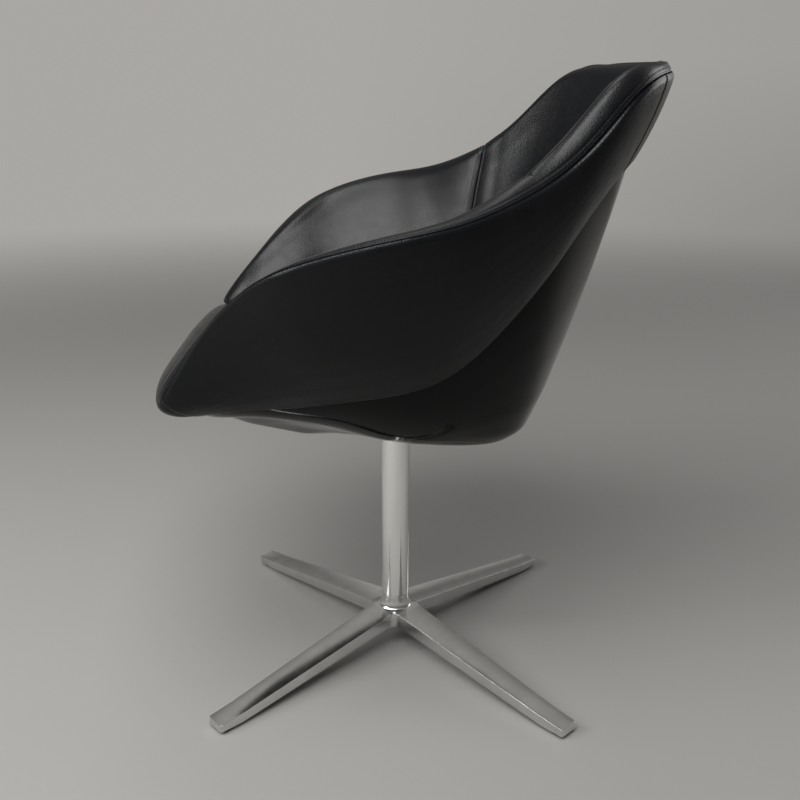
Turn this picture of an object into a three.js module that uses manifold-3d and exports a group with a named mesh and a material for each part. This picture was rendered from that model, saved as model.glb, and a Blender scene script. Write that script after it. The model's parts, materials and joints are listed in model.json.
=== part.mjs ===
// Pedestal swivel armchair: an upholstered tub with a gloss lower shell, which turns on a column
// that stands on a cast four-star base.
// Millimetres, +Z up. The sitter faces -Y, and +X is the sitter's left. Everything is drawn round the
// column's axis, and the finished group is moved so that its origin is the middle of its footprint.
import * as THREE from 'three';
import { mergeVertices } from 'three/addons/utils/BufferGeometryUtils.js';
import Module from 'manifold-3d';

const wasm = await Module();
wasm.setup();

// Tub: overall sizes, from the column's axis and from the floor
const tubHalfWidth = 336;
const tubFrontReach = 290;
const tubRearReach = 336;
const tubUnderside = 344;
const tubHeight = 481;

// Upholstery
const coverThickness = 1.6;
const panelThickness = 10.3;
const panelStep = 7;
const sideBulge = 11;
const rimWidth = 28;
const rimRoll = 14;
const rimDrop = 12;
const rimArch = 9;
const seatCentreLift = 108;
const seatCentreHeight = tubUnderside + seatCentreLift;
const seatCrown = 5;
const wallCrown = 7;
const seamDip = 2.4;
const seamSpacing = 40;
const tongueSink = 0.4;
const tongueLap = 4;

// Shells
const seatShellThickness = 7;
const seatPanLift = 45;
const seatPanHeight = tubUnderside + seatPanLift;
const lowerShellThickness = 3;
const lowerShellLanding = 65;
const shellBelly = 16;
const lowerShellHole = 21.5;
const flankBulge = 7;
const shellAir = 3;

// Base casting
const starReach = 322.5;
const starBend = 285;
const starRoot = 40;
const armRootTop = 56;
const armBendTop = 19.5;
const armTipTop = 16;
const armRootBottom = 37;
const armTipBottom = 5.5;
const armRootHalfWidth = 22;
const armTipHalfWidth = 14;
const armTipCorner = 3;
const crotchRadius = 10;
const castWall = 4.5;
const padLength = 33;
const hubRadius = 24;
const hubBottom = 30;
const neckFlare = 27.5;
const neckFlareHeight = 15.5;
const neckStraight = 6;
const firstArmDegrees = 45;
const baseTurnDegrees = -1.8;

// Column
const tubeRadius = 20;
const tubeWall = 3;
const tubeFoot = 78.5;
const tubeLift = 8;
const tubeTop = tubUnderside + tubeLift;
const spigotLength = 31;
const plugLength = 17;

// Swivel
const spindleRadius = 12.5;
const spindleReach = 147;
const spindleFoot = tubeTop - spindleReach;
const hubHeight = 26;
const spindleHubRadius = 22;
const lowerBushLength = 25;
const upperBushLength = 28;
const bushFlange = 2.5;
const thrustThickness = 2;
const plateHalfSize = 85;
const plateCorner = 22;
const plateThickness = 5;
const plateBoltPlace = 62;
const pillarRadius = 7;
const pillarPlace = 58;

// Fasteners and feet
const baseBoltRadius = 5;
const plateBoltRadius = 4;
const shellScrewRadius = 2.5;
const glideScrewRadius = 2;
const spindleScrewRadius = 4;
const washerThickness = 2;
const glideRadius = 11;
const glideBevel = 1.4;
const glideInset = 14.5;
const glidePlace = starReach - glideInset;
const glideScrewBite = 7.5;
const glideScrewTip = armTipBottom + glideScrewBite;
const spindleThread = 24;
const lowerBushLift = 1.8;
// Heads: their radius and height in shares of the shank's radius
const plateBoltHead = [1.65, 1.3];
const shellScrewHead = [2, 1];
const spindleScrewHead = [1.9, 1.4];
const baseBoltHead = [1.7, 1.3];
const glideScrewHead = [2, 0.9];
const baseWasherShare = 2.4;

// Fits: between parts that touch, between parts that turn, and how far a cutter overruns
const clearance = 0.3;
const runningClearance = 0.1;
const washerAir = 0.45;
const edgeGap = 0.5;
const padSeat = 0.5;
const partGap = 0.22;
const overrun = 1;
const weldLength = 0.02;

// How finely things are drawn
const stepsPerStation = 2;
const tubeSegments = 40;
const bearingSegments = 32;
const turnedSegments = 24;
const smallSegments = 12;
const cornerSteps = 5;

const leather = new THREE.MeshStandardMaterial({ color: 0x101113, roughness: 0.42, metalness: 0 });
const foam = new THREE.MeshStandardMaterial({ color: 0xb9b29a, roughness: 0.95, metalness: 0 });
const ply = new THREE.MeshStandardMaterial({ color: 0x2a2724, roughness: 0.7, metalness: 0 });
const gloss = new THREE.MeshStandardMaterial({ color: 0x060708, roughness: 0.08, metalness: 0 });
const polished = new THREE.MeshStandardMaterial({ color: 0xc9cacb, roughness: 0.12, metalness: 1 });
const cast = new THREE.MeshStandardMaterial({ color: 0xb4b5b4, roughness: 0.22, metalness: 1 });
const zinc = new THREE.MeshStandardMaterial({ color: 0x8d9094, roughness: 0.4, metalness: 1 });
const nylon = new THREE.MeshStandardMaterial({ color: 0xd8d6cf, roughness: 0.5, metalness: 0 });
const rubber = new THREE.MeshStandardMaterial({ color: 0x0d0d0e, roughness: 0.6, metalness: 0 });

const chair = new THREE.Group();
const v3 = (x, y, z) => new THREE.Vector3(x, y, z);
const mix = (a, b, share) => a.clone().lerp(b, share);
const shifted = (point, direction, distance) => point.clone().addScaledVector(direction, distance);
const turn = (degrees) => THREE.MathUtils.degToRad(degrees);

// Turns any geometry into one clean closed surface: shared corners, no empty triangles, faces out
function closedSurface(geometry) {
  const plain = new THREE.BufferGeometry();
  plain.setAttribute('position', geometry.getAttribute('position').clone());
  if (geometry.index) plain.setIndex(geometry.index.clone());
  const merged = mergeVertices(plain);
  const corners = merged.index.array;
  const kept = [];
  for (let i = 0; i < corners.length; i += 3) {
    const [a, b, c] = [corners[i], corners[i + 1], corners[i + 2]];
    if (a !== b && b !== c && c !== a) kept.push(a, b, c);
  }
  const place = merged.getAttribute('position');
  const [p, q, r] = [v3(), v3(), v3()];
  let volume = 0;
  for (let i = 0; i < kept.length; i += 3) {
    p.fromBufferAttribute(place, kept[i]);
    q.fromBufferAttribute(place, kept[i + 1]);
    r.fromBufferAttribute(place, kept[i + 2]);
    volume += p.dot(q.cross(r));
  }
  merged.setIndex(volume < 0 ? kept.reverse() : kept);
  return merged;
}

function toManifold(geometry) {
  const closed = closedSurface(geometry);
  return new wasm.Manifold(new wasm.Mesh({
    numProp: 3,
    vertProperties: new Float32Array(closed.getAttribute('position').array),
    triVerts: new Uint32Array(closed.index.array),
  }));
}

function fromManifold(manifold) {
  const mesh = manifold.simplify(weldLength).getMesh();
  const geometry = new THREE.BufferGeometry();
  geometry.setAttribute('position', new THREE.BufferAttribute(new Float32Array(mesh.vertProperties), 3));
  geometry.setIndex([...mesh.triVerts]);
  return geometry;
}

function addPiece(name, geometry, material) {
  const closed = closedSurface(geometry);
  closed.computeVertexNormals();
  const mesh = new THREE.Mesh(closed, material);
  mesh.name = name;
  chair.add(mesh);
  return mesh;
}

// A turned solid about the Z axis, from [radius, height] pairs that close on the axis or on themselves
function turned(outline, segments) {
  const profile = outline.map(([radius, height]) => new THREE.Vector2(radius, height));
  return new THREE.LatheGeometry(profile, segments).rotateX(Math.PI / 2);
}

const rod = (radius, bottom, top, segments) =>
  turned([[0, bottom], [radius, bottom], [radius, top], [0, top]], segments);

const ring = (inner, outer, bottom, top, segments) =>
  turned([[inner, bottom], [outer, bottom], [outer, top], [inner, top], [inner, bottom]], segments);

// The tub's guiding lines. Each has fourteen stations on the +X half, from the middle of the front
// (station 0) round the front corner (3), the arm (5 to 8), the wing (10, 11) to the middle of the
// back (13). A station is [half width, depth from the front edge, height above the underside] in shares.
const frontCornerIndex = 3;
const armBackIndex = 9.5;
const sideRearIndex = 12;
const backCentreIndex = 13;

const seamShares = [
  [0, 0, 0.22], [0.327, 0.003, 0.22], [0.595, 0.014, 0.218], [0.714, 0.035, 0.237],
  [0.747, 0.104, 0.38], [0.866, 0.2, 0.519], [0.981, 0.298, 0.593], [0.997, 0.431, 0.64],
  [0.917, 0.551, 0.667], [0.78, 0.658, 0.707], [0.643, 0.77, 0.786], [0.545, 0.866, 0.911],
  [0.363, 0.944, 0.966], [0, 1, 0.974],
];
const edgeShares = [
  [0, 0.045, 0.166], [0.283, 0.048, 0.166], [0.5, 0.061, 0.168], [0.637, 0.094, 0.183],
  [0.69, 0.173, 0.206], [0.714, 0.27, 0.218], [0.732, 0.358, 0.235], [0.744, 0.449, 0.254],
  [0.732, 0.543, 0.293], [0.685, 0.634, 0.383], [0.595, 0.728, 0.511], [0.491, 0.8, 0.624],
  [0.298, 0.887, 0.73], [0, 0.947, 0.767],
];
const keelShares = [
  [0, 0.093, 0.127], [0.235, 0.096, 0.129], [0.4, 0.11, 0.135], [0.48, 0.141, 0.15],
  [0.545, 0.2, 0.164], [0.565, 0.278, 0.15], [0.56, 0.348, 0.127], [0.565, 0.444, 0.096],
  [0.565, 0.535, 0.09], [0.53, 0.615, 0.086], [0.446, 0.684, 0.065], [0.31, 0.722, 0.037],
  [0.155, 0.742, 0.015], [0, 0.749, 0.011],
];
// The turn of the seat shell's pan, inside the lower shell
const panShares = [
  [0, 0.093, 0.127], [0.253, 0.096, 0.129], [0.42, 0.109, 0.148], [0.52, 0.142, 0.168],
  [0.555, 0.205, 0.169], [0.565, 0.278, 0.15], [0.56, 0.348, 0.127], [0.565, 0.444, 0.096],
  [0.565, 0.535, 0.09], [0.53, 0.615, 0.086], [0.446, 0.684, 0.065], [0.31, 0.722, 0.037],
  [0.155, 0.742, 0.015], [0, 0.749, 0.011],
];
// How full the underside is between the landing round the column and the keel
const bellyShares = [0.75, 0.75, 0.75, 0.6, 0.38, 0.15, 0, 0, 0.2, 0.5, 0.45, 0.25, 0.12, 0.12];
const creaseShares = [
  [0, 0.109, 0.258], [0.27, 0.11, 0.258], [0.44, 0.118, 0.256], [0.536, 0.136, 0.254],
  [0.577, 0.188, 0.247], [0.595, 0.262, 0.241], [0.607, 0.345, 0.237], [0.61, 0.435, 0.235],
  [0.595, 0.518, 0.233], [0.548, 0.591, 0.231], [0.47, 0.642, 0.229], [0.369, 0.674, 0.227],
  [0.22, 0.696, 0.225], [0, 0.708, 0.225],
];
// The rim above the seam: width of its band in shares of the rim's width, how steeply the band climbs
// inwards from the seam, and how it then rolls over to the inside
const bandShares = [0.69, 0.69, 0.69, 0.7, 0.75, 0.85, 0.85, 0.85, 0.85, 0.9, 1, 1, 0.75, 0.57];
const bandTiltDegrees = [55, 55, 52, 38, 18, 9, 6, 5, 8, 24, 52, 60, 46, 42];
const bandRollDegrees = [12, 12, 5, -12, -40, -55, -55, -55, -50, -38, -20, -18, -40, -52];
// Rows of places across the seat, up the inside wall and up the side panels
const seatRowShares = [0.4, 0.75, 0.95];
const wallRowShares = [0.1, 0.34, 0.62, 0.86];
const sideSkinShares = [0, 0.25, 0.5, 0.78];
// How deep the seat and the wall pads part under the crease, how many stations that takes to begin, and
// how far up the seat pad its run over the front starts
const partingShare = 0.45;
const creaseBlendShare = 0.8;
const tongueLapShare = 0.06;
const tongueRiseShare = 0.3;
// How full the side and rear panels are, in shares of the fullest
const fullnessShares = [0.4, 0.4, 0.45, 0.6, 0.9, 1, 1, 1, 1, 0.9, 0.75, 0.6, 0.5, 0.4];

const tubDepth = tubFrontReach + tubRearReach;
const asPlace = ([width, depth, height]) =>
  v3(width * tubHalfWidth, depth * tubDepth - tubFrontReach, tubUnderside + height * tubHeight);
const mirrored = (point) => v3(-point.x, point.y, point.z);

// A smooth line through the stations of the +X half, level with the middle plane at both ends
function smoothLine(places) {
  const at = (index) => {
    if (index < 0) return mirrored(places[-index]);
    if (index > backCentreIndex) return mirrored(places[backCentreIndex * 2 - index]);
    return places[index];
  };
  return (station) => {
    const start = Math.min(Math.floor(station), backCentreIndex - 1);
    const share = station - start;
    const [p0, p1, p2, p3] = [at(start - 1), at(start), at(start + 1), at(start + 2)];
    const bend = (a, b, c, d) => b + 0.5 * share * (c - a
      + share * (2 * a - 5 * b + 4 * c - d + share * (3 * (b - c) + d - a)));
    return v3(bend(p0.x, p1.x, p2.x, p3.x), bend(p0.y, p1.y, p2.y, p3.y), bend(p0.z, p1.z, p2.z, p3.z));
  };
}

function smoothValue(values) {
  const line = smoothLine(values.map((value) => v3(0, value, 0)));
  return (station) => line(station).y;
}

const seamLine = smoothLine(seamShares.map(asPlace));
const edgeLine = smoothLine(edgeShares.map(asPlace));
const keelLine = smoothLine(keelShares.map(asPlace));
const panLine = smoothLine(panShares.map(asPlace));
const creaseLine = smoothLine(creaseShares.map(asPlace));
const bandShare = smoothValue(bandShares);
const bandTilt = smoothValue(bandTiltDegrees);
const bandRoll = smoothValue(bandRollDegrees);
const fullness = smoothValue(fullnessShares);
const bellyShare = smoothValue(bellyShares);

// Which way a line runs at a station, and the outward direction of the surface between two lines
const nudgeShare = 0.02;
const mirroredAt = (line) => (station) => {
  if (station < 0) return mirrored(line(-station));
  return station > backCentreIndex ? mirrored(line(backCentreIndex * 2 - station)) : line(station);
};
function along(line, station) {
  const wide = mirroredAt(line);
  return wide(station + nudgeShare).sub(wide(station - nudgeShare)).normalize();
}
function outward(low, high, station) {
  const middle = (at) => mix(mirroredAt(low)(at), mirroredAt(high)(at), 0.5);
  return along(middle, station).cross(high(station).sub(low(station))).normalize();
}

// All the places of one cut through the tub's wall at a station. "out" counts inwards from the outer
// surface, square to it.
function wallCut(station) {
  const seam = seamLine(station);
  const edge = edgeLine(station);
  const keel = keelLine(station);
  const crease = creaseLine(station);
  const sideOut = outward(edgeLine, seamLine, station);
  const sideLength = seam.distanceTo(edge);
  const sideUp = seam.clone().sub(edge).normalize();
  const bulge = sideBulge * fullness(station);
  const side = (share, depth) =>
    shifted(mix(edge, seam, share), sideOut, 4 * share * (1 - share) * bulge - depth);
  const below = (drop) => 1 - drop / sideLength;

  // The rim: its band, its ridge and the roll to the inside, in the plane square to the seam
  const run = along(seamLine, station);
  const rise = v3(0, 0, 1).addScaledVector(run, -run.z).normalize();
  const inwards = rise.clone().cross(run).normalize();
  const rimPlace = (from, distance, degrees) => shifted(
    shifted(from, inwards, distance * Math.cos(turn(degrees))), rise, distance * Math.sin(turn(degrees)));
  const band = bandShare(station) * rimWidth;
  const ridge = rimPlace(seam, band, bandTilt(station));
  const bandMiddle = rimPlace(seam, band / 2, bandTilt(station) + rimArch);
  const rimInside = rimPlace(ridge, rimRoll, bandRoll(station));

  // The padded inside, from the crease up to the rim
  const wallIn = along(creaseLine, station).cross(rimInside.clone().sub(crease)).normalize().negate();
  const wall = (share) => shifted(mix(crease, rimInside, share), wallIn, 4 * share * (1 - share) * wallCrown);

  // The flanks of the gloss shell and of the seat shell, from the keel and from the pan's turn to just
  // under the side panel's lower edge
  const flankTop = shifted(side(0, panelStep), sideUp, -edgeGap);
  const flankFrom = (low) => {
    const out = outward(low, edgeLine, station);
    return (share, depth) =>
      shifted(mix(low(station), flankTop, share), out, 4 * share * (1 - share) * flankBulge - depth);
  };
  return { seam, keel, crease, side, sideUp, below, ridge, bandMiddle, rimInside, wall,
    flank: flankFrom(keelLine), panFlank: flankFrom(panLine) };
}

// The seat shell's inner or outer face at a station, from the middle of its pan up to its top edge.
// The air between it and the lower shell thins out from the keel to the side panel's lower edge.
const panTurnShare = 0.93;
const flankRowShares = [0.25, 0.5, 0.75];
const sideRowShare = 0.5;
const topAir = panelThickness + padSeat - panelStep - lowerShellThickness;
function seatShellFace(station, depth) {
  const cut = wallCut(station);
  const skinAt = (share) => lowerShellThickness + shellAir + share * (topAir - shellAir) + depth;
  const low = panLine(station);
  const turnHeight = Math.max(seatPanHeight + depth, low.z + skinAt(0));
  const panTurn = v3(low.x * panTurnShare, low.y * panTurnShare, turnHeight);
  const flankRows = flankRowShares.map((share) => cut.panFlank(share, skinAt(share)));
  const sideDepth = panelThickness + padSeat + depth;
  const top = cut.below(rimDrop);
  const sideRows = [0, sideRowShare, 1].map((share) => cut.side(share * top, sideDepth));
  return [v3(0, 0, seatPanHeight + depth), panTurn, ...flankRows, ...sideRows];
}

// Along a broken line: the share of the way to each of its places, the place at a share, and the share
// nearest to a target
function sharesOf(places) {
  const lengths = [0];
  for (let i = 1; i < places.length; i += 1) {
    lengths.push(lengths[i - 1] + places[i].distanceTo(places[i - 1]));
  }
  return lengths.map((length) => length / lengths.at(-1));
}
function placeAlong(places, share) {
  const shares = sharesOf(places);
  let i = 1;
  while (i < places.length - 1 && shares[i] < share) i += 1;
  return mix(places[i - 1], places[i], (share - shares[i - 1]) / (shares[i] - shares[i - 1]));
}
function nearestShare(places, target) {
  const shares = sharesOf(places);
  let [nearest, best] = [Infinity, 0];
  for (let i = 1; i < places.length; i += 1) {
    const line = new THREE.Line3(places[i - 1], places[i]);
    const part = line.closestPointToPointParameter(target, true);
    const distance = line.at(part, v3()).distanceTo(target);
    if (distance < nearest) {
      nearest = distance;
      best = shares[i - 1] + part * (shares[i] - shares[i - 1]);
    }
  }
  return best;
}

// A slab between a skin and a back, from one cut per station. It runs round the whole tub, or ends flat
// at its first and last cut. The facets' diagonals mirror from one half of the tub to the other, and
// rows from crossedRow on have them the other way.
function slab(cuts, wholeRing, crossedRow = Infinity) {
  const skinCount = cuts[0].skin.length;
  const count = skinCount + cuts[0].back.length;
  const places = [];
  const triangles = [];
  cuts.forEach(({ skin, back }) => [...skin, ...back].forEach((place) => places.push(...place.toArray())));
  const corner = (cut, index) => (cut % cuts.length) * count + index;
  const quad = (a, b, c, d, crossed) => {
    if (crossed) triangles.push(b, c, d, b, d, a);
    else triangles.push(a, b, c, a, c, d);
  };
  const strip = (cut, low, high, crossed) =>
    quad(corner(cut, low), corner(cut + 1, low), corner(cut + 1, high), corner(cut, high), crossed);
  const lastCut = wholeRing ? cuts.length : cuts.length - 1;
  for (let cut = 0; cut < lastCut; cut += 1) {
    const nearHalf = cuts[cut].skin[1].x + cuts[(cut + 1) % cuts.length].skin[1].x > 0;
    for (let i = 0; i < skinCount - 1; i += 1) strip(cut, i, i + 1, nearHalf !== (i >= crossedRow));
    for (let i = 0; i < count - skinCount - 1; i += 1) {
      strip(cut, skinCount + i + 1, skinCount + i, nearHalf === (i >= crossedRow));
    }
    strip(cut, skinCount, 0, !nearHalf);
    strip(cut, skinCount - 1, count - 1, nearHalf);
  }
  if (!wholeRing) {
    const far = cuts.length - 1;
    for (let i = 0; i < skinCount - 1; i += 1) {
      const under = skinCount + i;
      const crossed = i >= crossedRow;
      quad(corner(0, i), corner(0, i + 1), corner(0, under + 1), corner(0, under), crossed);
      quad(corner(far, i), corner(far, under), corner(far, under + 1), corner(far, i + 1), crossed);
    }
  }
  const geometry = new THREE.BufferGeometry();
  geometry.setAttribute('position', new THREE.Float32BufferAttribute(places, 3));
  geometry.setIndex(triangles);
  return geometry;
}

// The far half's rows are the near half's, mirrored
function bothSides(rowsAt) {
  return (station) => {
    if (station <= backCentreIndex) return rowsAt(station);
    const { skin, back } = rowsAt(backCentreIndex * 2 - station);
    return { skin: skin.map(mirrored), back: back.map(mirrored) };
  };
}

// A pad's rows, with the way square into it from each place of its skin. A cut between two whole steps
// lies on the flat facets between them, so that all the layers share the same facets.
const ringCount = backCentreIndex * 2 * stepsPerStation;
const ringStations = Array.from({ length: ringCount }, (_, i) => i / stepsPerStation);
function facetRows(rowsAt, facing) {
  const sided = bothSides(rowsAt);
  const known = new Map();
  const rawRows = (index) => {
    const wrapped = (index + ringCount) % ringCount;
    if (!known.has(wrapped)) known.set(wrapped, sided(wrapped / stepsPerStation));
    return known.get(wrapped);
  };
  const stepRows = (index) => {
    const { skin, back } = rawRows(index);
    const [before, after] = [rawRows(index - 1).skin, rawRows(index + 1).skin];
    const last = skin.length - 1;
    const ways = skin.map((place, i) => {
      if (i === 0) return back[0].clone().sub(place).normalize();
      if (i === last) return back.at(-1).clone().sub(place).normalize();
      const run = after[i].clone().sub(before[i]);
      return run.cross(skin[i + 1].clone().sub(skin[i - 1])).normalize().multiplyScalar(facing);
    });
    return { skin, back, ways };
  };
  return (station) => {
    const wrapped = station < 0 ? station + backCentreIndex * 2 : station;
    const index = Math.floor(wrapped * stepsPerStation);
    const [start, end] = [stepRows(index), stepRows(index + 1)];
    const share = wrapped * stepsPerStation - index;
    const blend = (name) => start[name].map((from, i) => mix(from, end[name][i], share));
    return { skin: blend('skin'), back: blend('back'), ways: blend('ways') };
  };
}

// The stations of a panel between two seams, a small gap short of each
const halfGap = clearance / seamSpacing;
function panelStations(from, to) {
  const inner = [];
  for (let at = from + 1 / stepsPerStation; at < to; at += 1 / stepsPerStation) inner.push(at);
  return [from + halfGap, ...inner, to - halfGap];
}

// The cuts of one layer of a pad, from one depth under its skin down to another, or to its back
function layerCuts(rows, stations, wholeRing, top, bottom) {
  return stations.map((station) => {
    const { skin, back, ways } = rows(station);
    const atEnd = !wholeRing && (station === stations[0] || station === stations.at(-1));
    const dips = skin.map((_, i) => (atEnd && i > 0 && i < skin.length - 1 ? seamDip : 0));
    const deep = (depth) => skin.map((place, i) => shifted(place, ways[i], depth + dips[i]));
    return { skin: deep(top), back: bottom === null ? back : deep(bottom) };
  });
}

// Where the inside pads rest on the seat shell, and where the seat and the wall pads part: at the place
// of the shell nearest to the crease, along the front at the same share as at its corner
const padFace = (station) => seatShellFace(station, seatShellThickness + padSeat);
function footShareAt(station) {
  const at = Math.max(station, frontCornerIndex);
  return nearestShare(padFace(at).slice(1), creaseLine(at));
}
function padPlaces(station) {
  const cut = wallCut(station);
  const face = padFace(station);
  const wallFace = face.slice(1);
  const footShare = footShareAt(station);
  const foot = placeAlong(wallFace, footShare);
  const { smoothstep } = THREE.MathUtils;
  const deep = partingShare * smoothstep(station, frontCornerIndex - creaseBlendShare, frontCornerIndex);
  const parting = mix(cut.crease, foot, deep);
  const partWay = along(creaseLine, station).cross(foot.clone().sub(cut.crease)).normalize();
  const faceShares = sharesOf(wallFace);
  const upTo = (share) => placeAlong(wallFace, Math.min(share, footShare));
  const backFrom = (low) =>
    faceShares.slice(1).map((share) => placeAlong(wallFace, Math.max(share, low)));
  const lapShare = footShare + tongueLapShare;
  const seatFoot = shifted(foot, partWay, partGap * deep / partingShare);
  return { cut, face, foot, parting, partWay, seatFoot, seatBack: faceShares.map(upTo),
    wallBack: backFrom(footShare), lapFoot: placeAlong(wallFace, lapShare), lapBack: backFrom(lapShare) };
}

const seatMiddle = v3(0, 0, seatCentreHeight);
function onSeat(cut, share) {
  const place = mix(seatMiddle, cut.crease, share);
  place.z += 4 * share * (1 - share) * seatCrown;
  return place;
}

function seatRows(station) {
  const { cut, face, parting, partWay, seatFoot, seatBack } = padPlaces(station);
  const skin = [seatMiddle, ...seatRowShares.map((share) => onSeat(cut, share)),
    shifted(parting, partWay, partGap)];
  const back = [face[0], ...seatBack.slice(0, -1), seatFoot];
  return { skin, back };
}

// Over the shell's top edge the pads rest a little above it and part over its middle
const overEdge = rimDrop - padSeat;
const insideDepth = panelThickness + seatShellThickness + padSeat * 2;
const edgeMiddle = panelThickness + padSeat + seatShellThickness / 2;
const wallSkin = (cut) =>
  [...wallRowShares.map(cut.wall), cut.rimInside, cut.ridge, cut.bandMiddle, cut.seam];
const wallBackRows = (cut, wallBack) => [...wallBack,
  cut.side(cut.below(overEdge), insideDepth), cut.side(cut.below(overEdge), edgeMiddle + partGap)];

function wallRows(station) {
  const { cut, foot, parting, partWay, wallBack } = padPlaces(station);
  const skin = [shifted(parting, partWay, -partGap), ...wallSkin(cut)];
  const back = [shifted(foot, partWay, -partGap), ...wallBackRows(cut, wallBack)];
  return { skin, back };
}

// The thin outer panels: their places from the seam down to the lower shell
const sideSkin = (cut) => sideSkinShares.map((share) => cut.side(share, 0));
function sideBack(cut) {
  const top = cut.below(rimDrop);
  return [cut.side(0, panelThickness), cut.side(sideRowShare * top, panelThickness),
    cut.side(top, panelThickness), cut.side(cut.below(overEdge), panelThickness)];
}

function sideRows(station) {
  const cut = wallCut(station);
  const skin = [...sideSkin(cut), shifted(cut.seam, cut.sideUp, -partGap * 2)];
  const back = [...sideBack(cut), cut.side(cut.below(overEdge), edgeMiddle - partGap)];
  return { skin, back };
}

// The seat's leather and foam run on over the front edge, down to the lower shell
function tongueRows(station) {
  const { cut, foot, partWay, lapFoot, lapBack } = padPlaces(station);
  const start = shifted(onSeat(cut, seatRowShares.at(-1)), v3(0, 0, 1), -tongueSink);
  const startBack = shifted(mix(foot, cut.crease, tongueRiseShare), partWay, tongueLap);
  const skin = [start, cut.crease, ...wallSkin(cut), ...sideSkin(cut).reverse()];
  const back = [startBack, lapFoot, ...wallBackRows(cut, lapBack), ...sideBack(cut).reverse()];
  return { skin, back };
}

function addSeatPads() {
  const seat = facetRows(seatRows, 1);
  const tongue = facetRows(tongueRows, 1);
  const tongueStations = panelStations(-frontCornerIndex, frontCornerIndex);
  const outerRow = tongueRows(0).skin.length - sideSkinShares.length;
  const foamTop = coverThickness + clearance;
  const seatLayer = (top, bottom) =>
    toManifold(slab(layerCuts(seat, ringStations, true, top, bottom), true));
  const tongueLayer = (top, bottom) =>
    toManifold(slab(layerCuts(tongue, tongueStations, false, top, bottom), false, outerRow));
  const cover = seatLayer(0, coverThickness).add(tongueLayer(0, coverThickness));
  const seatFoam = seatLayer(foamTop, null).subtract(tongueLayer(-overrun, foamTop));
  const tongueFoam = tongueLayer(foamTop, null).subtract(seatLayer(-overrun, foamTop));
  addPiece('seat_cover', fromManifold(cover), leather);
  addPiece('seat_foam', fromManifold(seatFoam.add(tongueFoam)), foam);
}

function addUpholstery() {
  addSeatPads();
  const around = backCentreIndex * 2;
  const [wall, side] = [facetRows(wallRows, 1), facetRows(sideRows, -1)];
  const outerPanelRow = sideSkinShares.length - 1;
  const panels = [
    ['arm', '_left', wall, frontCornerIndex, armBackIndex],
    ['arm', '_right', wall, around - armBackIndex, around - frontCornerIndex],
    ['back', '', wall, armBackIndex, around - armBackIndex],
    ['side', '_left', side, frontCornerIndex, sideRearIndex],
    ['side', '_right', side, around - sideRearIndex, around - frontCornerIndex],
    ['rear', '', side, sideRearIndex, around - sideRearIndex],
  ];
  panels.forEach(([where, hand, rows, from, to]) => {
    const crossedRow = rows === side ? outerPanelRow : Infinity;
    const cuts = (top, bottom) => layerCuts(rows, panelStations(from, to), false, top, bottom);
    const layer = (top, bottom) => slab(cuts(top, bottom), false, crossedRow);
    addPiece(`${where}_cover${hand}`, layer(0, coverThickness), leather);
    addPiece(`${where}_foam${hand}`, layer(coverThickness + clearance, null), foam);
  });
}

// The seat shell: one moulded shell under all the upholstery, with holes for the plate's bolts
const corners = [[1, 1], [-1, 1], [-1, -1], [1, -1]];
const boltPlaces = corners.map(([x, y]) => [x * plateBoltPlace, y * plateBoltPlace]);
const compass = [[1, 0], [0, 1], [-1, 0], [0, -1]];
const pillarPlaces = compass.map(([x, y]) => [x * pillarPlace, y * pillarPlace]);

function drilled(geometry, places, radius, bottom, top, segments = smallSegments) {
  let solid = toManifold(geometry);
  places.forEach(([x, y]) => {
    const hole = rod(radius, bottom - overrun, top + overrun, segments).translate(x, y, 0);
    solid = solid.subtract(toManifold(hole));
  });
  return fromManifold(solid);
}

function addSeatShell() {
  const edgePlace = (cut) => cut.side(cut.below(rimDrop), edgeMiddle);
  const rows = bothSides((station) => ({
    skin: [...seatShellFace(station, seatShellThickness), edgePlace(wallCut(station))],
    back: seatShellFace(station, 0) }));
  const shell = slab(ringStations.map(rows), true);
  const panTop = seatPanHeight + seatShellThickness;
  const bored = drilled(shell, boltPlaces, plateBoltRadius + clearance, seatPanHeight, panTop);
  addPiece('seat_shell', bored, ply);
}

// The gloss lower shell: flat round the column, then a soft keel and the flank
const bellyPlaceShare = 0.6;
const bellyBeforeShare = 0.7;
const keelBeforeShare = 0.2;
const keelAfterShare = 0.2;
const keelPullShare = 0.55;
function lowerShellRows(station) {
  const cut = wallCut(station);
  const way = v3(cut.keel.x, cut.keel.y, 0).normalize();
  const flat = (radius, lift) => v3(way.x * radius, way.y * radius, tubUnderside + lift);
  const wallOf = (lift) => {
    const landing = flat(lowerShellLanding, lift);
    const keel = shifted(cut.keel, v3(0, 0, 1), lift);
    const belly = bellyShare(station) * shellBelly;
    const down = along(keelLine, station).cross(keel.clone().sub(landing)).normalize();
    const low = shifted(mix(keel, landing, bellyPlaceShare), down, belly);
    const before = shifted(mix(keel, landing, keelBeforeShare), down, belly * bellyBeforeShare);
    const after = cut.flank(keelAfterShare, lift);
    const rounded = mix(mix(before, after, 0.5), mix(cut.keel, cut.flank(0, lift), 0.5), 1 - keelPullShare);
    const flankRows = flankRowShares.map((share) => cut.flank(share, lift));
    const topEdge = shifted(cut.side(0, panelStep + lift), cut.sideUp, -edgeGap);
    return [flat(lowerShellHole, lift), landing, low, before, rounded, after, ...flankRows, topEdge];
  };
  return { skin: wallOf(0), back: wallOf(lowerShellThickness) };
}

function addLowerShell() {
  const shell = slab(ringStations.map(bothSides(lowerShellRows)), true);
  const top = tubUnderside + lowerShellThickness;
  const bored = drilled(shell, pillarPlaces, shellScrewRadius + clearance, tubUnderside, top);
  addPiece('lower_shell', bored, gloss);
}

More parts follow.
